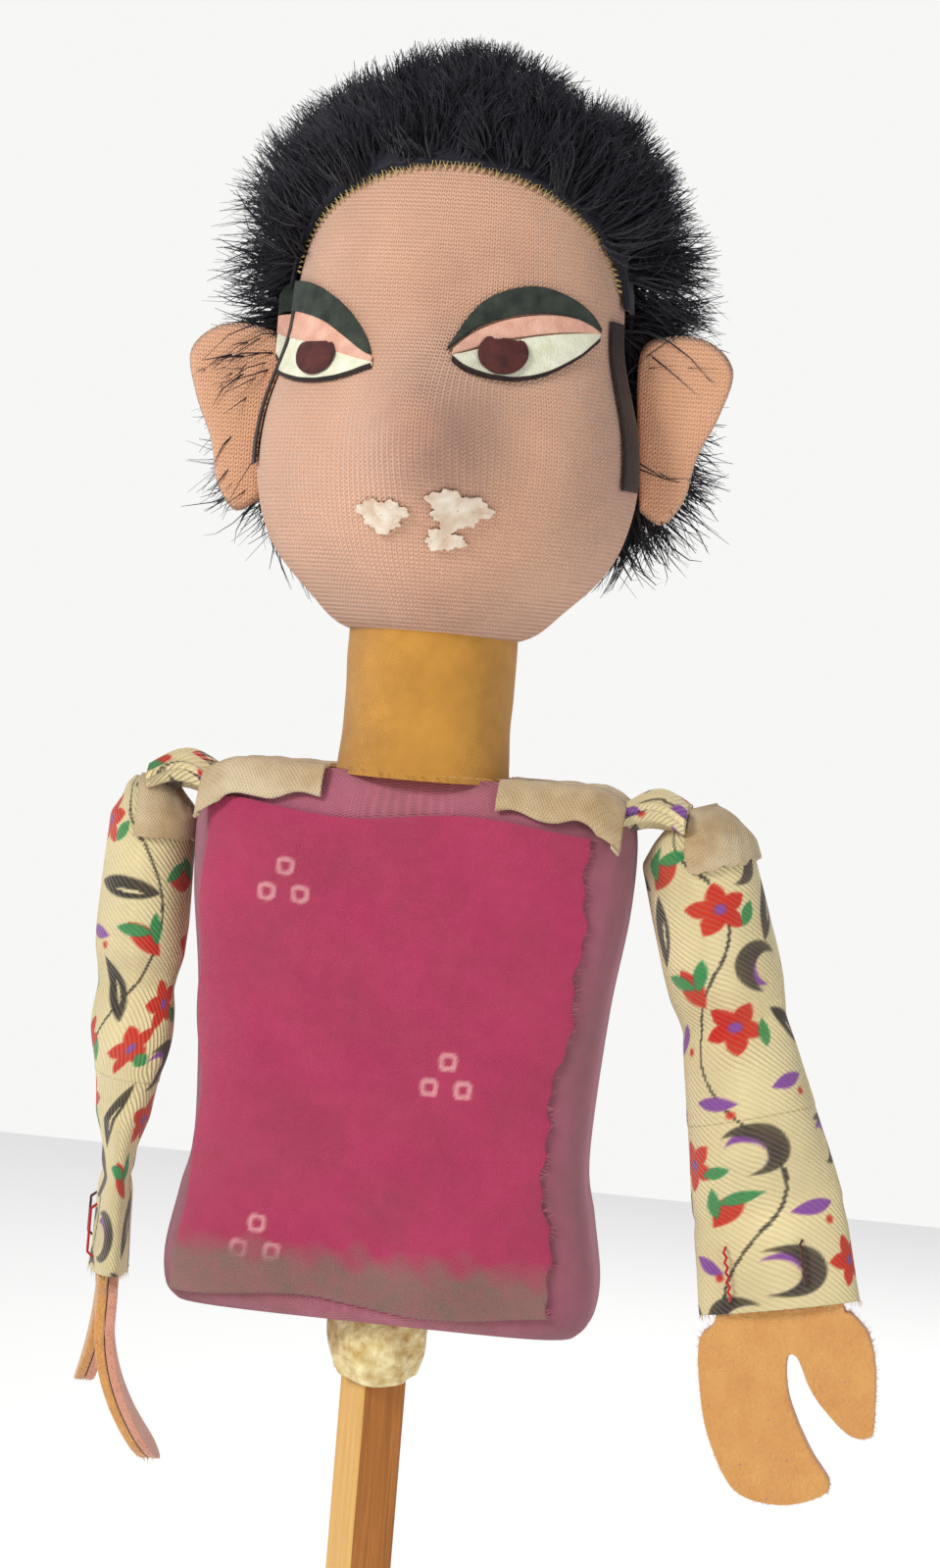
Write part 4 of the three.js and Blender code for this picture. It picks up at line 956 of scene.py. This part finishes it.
def sleeve_rings(arm, low, high, rows, columns, grow=0.0):
    """Rings of one sleeve from high to low distance down the arm, with creases at elbow, wrist and pinches."""
    wide, deep = arm["wide"], arm["deep"]
    fore_wide, fore_deep = arm["fore"]
    table = np.array([
        [3.8, 2.5, wide * 0.30, deep * 0.45, 0], [6, 2.2, wide * 0.5, deep * 0.65, 0],
        [10, 1.0, wide - 5, deep - 2.5, 0], [16, 0, wide - 0.6, deep, 0], [32, 0, wide, deep, 0],
        [50, 0, wide + 0.4, deep, 0], [60, 0, wide + 0.2, deep * 0.72, 0], [66, 0, wide - 0.8, 6.2, 0],
        [71, 0, wide - 1.6, 4.2, 0], [76, 0, wide - 0.8, 6.0, 0.05], [84, 0, wide + 0.4, fore_deep * 0.86, 0.25],
        [97, 0, (wide + fore_wide) / 2, fore_deep, 0.75], [112, 0, fore_wide, fore_deep, 1],
        [122, 0, fore_wide + 1.4, fore_deep * 0.66, 1], [128, 0, 24, 5.6, 1], [131, 0, 23.6, 4.6, 1],
        [136, 0, 24.4, 5.8, 1], [161, 0, 25.5, 6.6, 1]])
    down = np.linspace(high, low, rows)
    values = [np.interp(down, table[:, 0], table[:, k]) for k in range(1, 5)]
    kernel = np.hanning(9) / np.hanning(9).sum()
    values = [np.convolve(np.pad(v, 4, mode="edge"), kernel, "valid") for v in values]
    shift, a, b, twist = (v[:, None] for v in values)
    angle = np.linspace(0, 2 * math.pi, columns, endpoint=False)[None, :]
    x, y = oval(angle, a + grow, b + grow, 2.35)
    crease = 0.5 * wobble(angle * 14, down[:, None], 23, arm["seed"]) + 0.45 * np.sin(
        angle * 5 + down[:, None] / 3.2) * np.exp(-((down[:, None] - ELBOW_DOWN) / 9) ** 2)
    x, y = x * (1 + 0.02 * crease), y * (1 + 0.045 * crease)
    t = np.radians(twist * arm["twist"])
    x, y = x * np.cos(t) - y * np.sin(t), x * np.sin(t) + y * np.cos(t)
    spots, outward = arm_axes(arm, down)
    rings = spots[:, None] + (x + shift)[..., None] * outward[:, None] + y[..., None] * np.array([0, 1, 0])
    if arm["sign"] < 0:
        rings[..., 0] *= -1
        rings = rings[:, ::-1]
    return rings, down


def point_on_arm(arm, down):
    spot = arm_axes(arm, np.array([down]))[0][0]
    return tuple(np.array([arm["sign"] * spot[0], spot[1], spot[2]]) * MM)


for side, arm in ARMS.items():
    around = 2 * math.pi * (arm["wide"] + arm["deep"]) / 2 * 1.03
    rings, down = sleeve_rings(arm, 3.8, 100.0, 170, 160)
    u = np.linspace(0, around, 161)
    flat_u = np.repeat(u[None, :-1], len(down), 0)
    print_shades = vine_print(flat_u, np.repeat(down[:, None], 160, 1), arm["seed"], around)
    upper = grid_piece(f"{side}_sleeve_upper", rings, u, -down, (False, True), print_shades)
    thicken(upper, 0.9, -1.0)
    upper.data.materials.append(printed_twill)
    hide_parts(f"{side}_upper_sleeve", f"{side}_upper_arm_stuffing", f"{side}_elbow_cloth")
    point_on_arm(arm, ELBOW_DOWN - 9)
    point_on_arm(arm, ELBOW_DOWN + 9)
    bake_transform(upper)
    rings, down = sleeve_rings(arm, 98.0, CUFF_END, 130, 160, -0.25)
    flat_u = np.repeat(u[None, :-1], len(down), 0)
    print_shades = vine_print(flat_u, np.repeat(down[:, None], 160, 1), arm["seed"], around)
    lower_sleeve = grid_piece(f"{side}_sleeve_lower", rings, u, -down, (False, False), print_shades)
    thicken(lower_sleeve, 0.9, -1.0)
    lower_sleeve.data.materials.append(printed_twill)
    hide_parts(f"{side}_forearm_sleeve", f"{side}_forearm_stuffing", f"{side}_wrist_cloth", f"{side}_cuff")
    point_on_arm(arm, WRIST_DOWN - 5)
    point_on_arm(arm, WRIST_DOWN + 5)
    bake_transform(lower_sleeve)

    # The bunched seam allowance by which the sleeve hangs from the trunk's top edge.
    run = np.linspace(0, 1, 40)[:, None]
    lap = np.linspace(0, 2 * math.pi, 110, endpoint=False)[None, :]
    bunch_z, bunch_y = oval(lap, 4.6 + 1.0 * np.sin(run * math.pi), 17.5 - 2 * np.sin(run * math.pi), 2.4)
    pleat = 0.8 * np.sin(lap * 9 + run * 3)
    bunch = np.stack([66.5 + 19 * run + 0 * lap, bunch_y, 409.2 + 3.2 * np.sin(run * math.pi) + bunch_z + pleat * np.sign(bunch_z)],
                     -1)
    bunch[..., 0] *= arm["sign"]
    bunch = bunch[:, ::-1] if arm["sign"] > 0 else bunch
    bunch_print = vine_print(np.repeat(np.linspace(0, 80, 110)[None], 40, 0), run * 20 + 0 * lap, arm["seed"] + 20, 80)
    gather = grid_piece(f"{side}_shoulder_gather_cloth", bunch, np.linspace(0, 80, 111), run[:, 0] * 20, (True, True),
                        bunch_print)
    dress(gather, f"{side}_shoulder", "printed_twill", printed_twill, f"{side}_shoulder_gather")

    # The raw strip's outer end, stuck over the top of the sleeve.
    rings, down = sleeve_rings(arm, 2.5, 22.0, 40, 120, 0.9)
    quarter = rings[:, (np.arange(-32, 33)) % 120] if arm["sign"] > 0 else rings[:, (np.arange(27, 92)) % 120]
    ragged = 1.4 * wobble(quarter[..., 1], quarter[..., 0], 9, 5)
    quarter[..., 2] += ragged * np.linspace(1, 0, 40)[:, None]
    cap_cloth = grid_piece(f"{side}_shoulder_cap_cloth", quarter, np.linspace(0, 60, 65), -down, (False, False), round=False)
    thicken(cap_cloth, 1.0, 1.0)
    dress(cap_cloth, f"{side}_upper_arm", "raw_cotton", raw_cotton, f"{side}_shoulder_cap")


# Hands. Two layers of felt, tan inside and pinkish outside, cut as a mitten with a thumb and sewn into the cuff.
FELT = 3.0
HAND_EDGE = [[-17, -8], [-20, -31], [-26, -38], [-27.5, -55], [-26, -70], [-20, -85], [-8, -90.5], [4, -90],
             [10, -86], [5.5, -76], [2, -66], [0, -56], [1, -46], [4, -46], [7, -56], [11.5, -64], [18, -71.5],
             [24.5, -72], [26.5, -64], [28, -52], [27, -41], [22.5, -34], [20, -31], [17, -8]]


def felt_material(name, colour, tint):
    s = Shading(name, 0.95, 0.5)
    fuzz = s.noise(0.9, 6)
    soft = s.mix(s.math("MULTIPLY", s.noise(9, 5), 0.5), linear(colour), linear(tint))
    speck = s.noise(1.6, 2, 0.70, 0.74)
    return s.finish(s.mix(s.math("MULTIPLY", speck, 0.5), soft, linear((0.55, 0.32, 0.55))), fuzz, 0.7)


palm_felt = felt_material("palm_felt", (0.88, 0.65, 0.37), (0.80, 0.52, 0.28))
back_felt = felt_material("hand_back_felt", (0.87, 0.62, 0.52), (0.80, 0.50, 0.40))
red_thread = thread_material("red_thread", (0.78, 0.12, 0.14))
brown_thread = thread_material("brown_thread", (0.32, 0.17, 0.12))
fuzz_thread = thread_material("felt_fuzz", (0.90, 0.68, 0.50))


def hand_points(arm, local):
    """Points of the hand, in mm from the wrist across, through and down, put in place."""
    t = math.radians(arm["twist"])
    x = local[..., 0] * math.cos(t) - local[..., 1] * math.sin(t)
    y = local[..., 0] * math.sin(t) + local[..., 1] * math.cos(t)
    lean = math.radians(arm["leans"][2])
    wrist = arm_axes(arm, np.array([WRIST_DOWN]))[0][0]
    outward = np.array([math.cos(lean), 0, math.sin(lean)])
    up = np.array([-math.sin(lean), 0, math.cos(lean)])
    placed = wrist + x[..., None] * outward + y[..., None] * np.array([0, 1, 0]) + local[..., 2][..., None] * up
    return placed * np.array([arm["sign"], 1, 1])


def bend_apart(arm, local):
    """The right hand's felt has taken a set: the fingers lie inwards and the thumb outwards."""
    if arm["sign"] > 0:
        return 0 * local[:, 0]
    deep = np.clip(-local[:, 2] - 42, 0, None)
    return np.where(local[:, 0] < 2.5 + 0.012 * deep ** 2, 0.0095, -0.003) * deep ** 2


for side, arm in ARMS.items():
    rim = smooth_rows(HAND_EDGE + [HAND_EDGE[0]], 340)[:-1]
    for layer, felt, near, far in (("palm", palm_felt, -3.2, -0.15), ("back", back_felt, 0.15, 3.2)):
        curve = bpy.data.curves.new(f"{side}_hand_{layer}_felt", "CURVE")
        curve.dimensions = "2D"
        curve.fill_mode = "BOTH"
        spline = curve.splines.new("POLY")
        spline.points.add(len(rim) - 1)
        for point, spot in zip(spline.points, rim):
            point.co = (spot[0] * MM, spot[1] * MM, 0, 1)
        spline.use_cyclic_u = True
        curve.extrude = (far - near) / 2 * MM - 0.0006
        curve.bevel_depth = 0.0006
        curve.bevel_resolution = 2
        curve.offset = -0.0006
        piece = bpy.data.objects.new(f"{side}_hand_{layer}_felt", curve)
        scene.collection.objects.link(piece)
        bpy.context.view_layer.objects.active = piece
        piece.select_set(True)
        bpy.ops.object.convert(target="MESH")
        piece = bpy.context.object
        bpy.ops.object.mode_set(mode="EDIT")
        bpy.ops.mesh.select_all(action="SELECT")
        bpy.ops.mesh.remove_doubles(threshold=0.00002)
        bpy.ops.mesh.normals_make_consistent(inside=False)
        bpy.ops.object.mode_set(mode="OBJECT")
        co = np.array([v.co for v in piece.data.vertices]) / MM
        local = np.stack([co[:, 0], co[:, 2] + (near + far) / 2, co[:, 1]], -1)
        curl = -0.0012 * np.clip(-local[:, 2] - 34, 0, None) ** 2
        local[:, 1] += curl + bend_apart(arm, local)
        placed = hand_points(arm, local) * MM
        piece.data.vertices.foreach_set("co", placed.astype(np.float32).ravel())
        piece.data.update()
        if arm["sign"] > 0:
            piece.data.flip_normals()
        piece.select_set(False)
        dress(piece, f"{side}_hand", f"{'palm' if layer == 'palm' else 'hand_back'}_felt", felt, f"{side}_hand_{layer}")
    fuzz_rng = np.random.default_rng(arm["seed"])
    picks = fuzz_rng.integers(20, len(rim) - 20, 700)
    root = np.stack([rim[picks, 0], fuzz_rng.uniform(-3, 3, 700), rim[picks, 1]], -1)
    away_edge = root - np.array([4, 0, -58])
    away_edge /= np.linalg.norm(away_edge, axis=1, keepdims=True)
    root[:, 1] += -0.0012 * np.clip(-root[:, 2] - 34, 0, None) ** 2 + bend_apart(arm, root)
    tip = root + away_edge * fuzz_rng.uniform(0.4, 1.6, (700, 1)) + fuzz_rng.normal(0, 0.4, (700, 3))
    fuzz = strand_piece(f"{side}_hand_fuzz", hand_points(arm, root), hand_points(arm, tip), np.zeros((700, 3)),
                        np.full(700, 0.09), 3, 3)
    dress(fuzz, f"{side}_hand", "palm_felt", fuzz_thread)

    # Coarse stitches that hold cuff and hand together.
    for index, (cx, colour, length) in enumerate(((-14.5, red_thread, 17), (9.5, brown_thread, 14))):
        heights = np.linspace(-9, -9 - length, 12)
        local = np.stack([cx + 0.5 * np.sin(heights * 2), np.full(12, -7.4), heights], -1)
        local[0, 1] = local[-1, 1] = -5.6
        thread_line(f"{side}_cuff_stitch_{index + 1}", hand_points(arm, local), 0.45, f"{side}_hand", "printed_twill", colour)
    picks = fuzz_rng.uniform(0, 2 * math.pi, 90)
    root = np.stack([25 * np.cos(picks), 6.3 * np.sin(picks), np.full(90, -29.6)], -1)
    tip = root + np.stack([fuzz_rng.normal(0, 0.8, 90), fuzz_rng.normal(0, 0.5, 90), fuzz_rng.uniform(-3.8, -0.8, 90)], -1)
    fray = strand_piece(f"{side}_cuff_fray", hand_points(arm, root), hand_points(arm, tip), np.zeros((90, 3)),
                        np.full(90, 0.14), 5, 4)
    dress(fray, f"{side}_hand", "printed_twill", thread_material(f"{side}_cuff_thread", (0.88, 0.72, 0.50)))
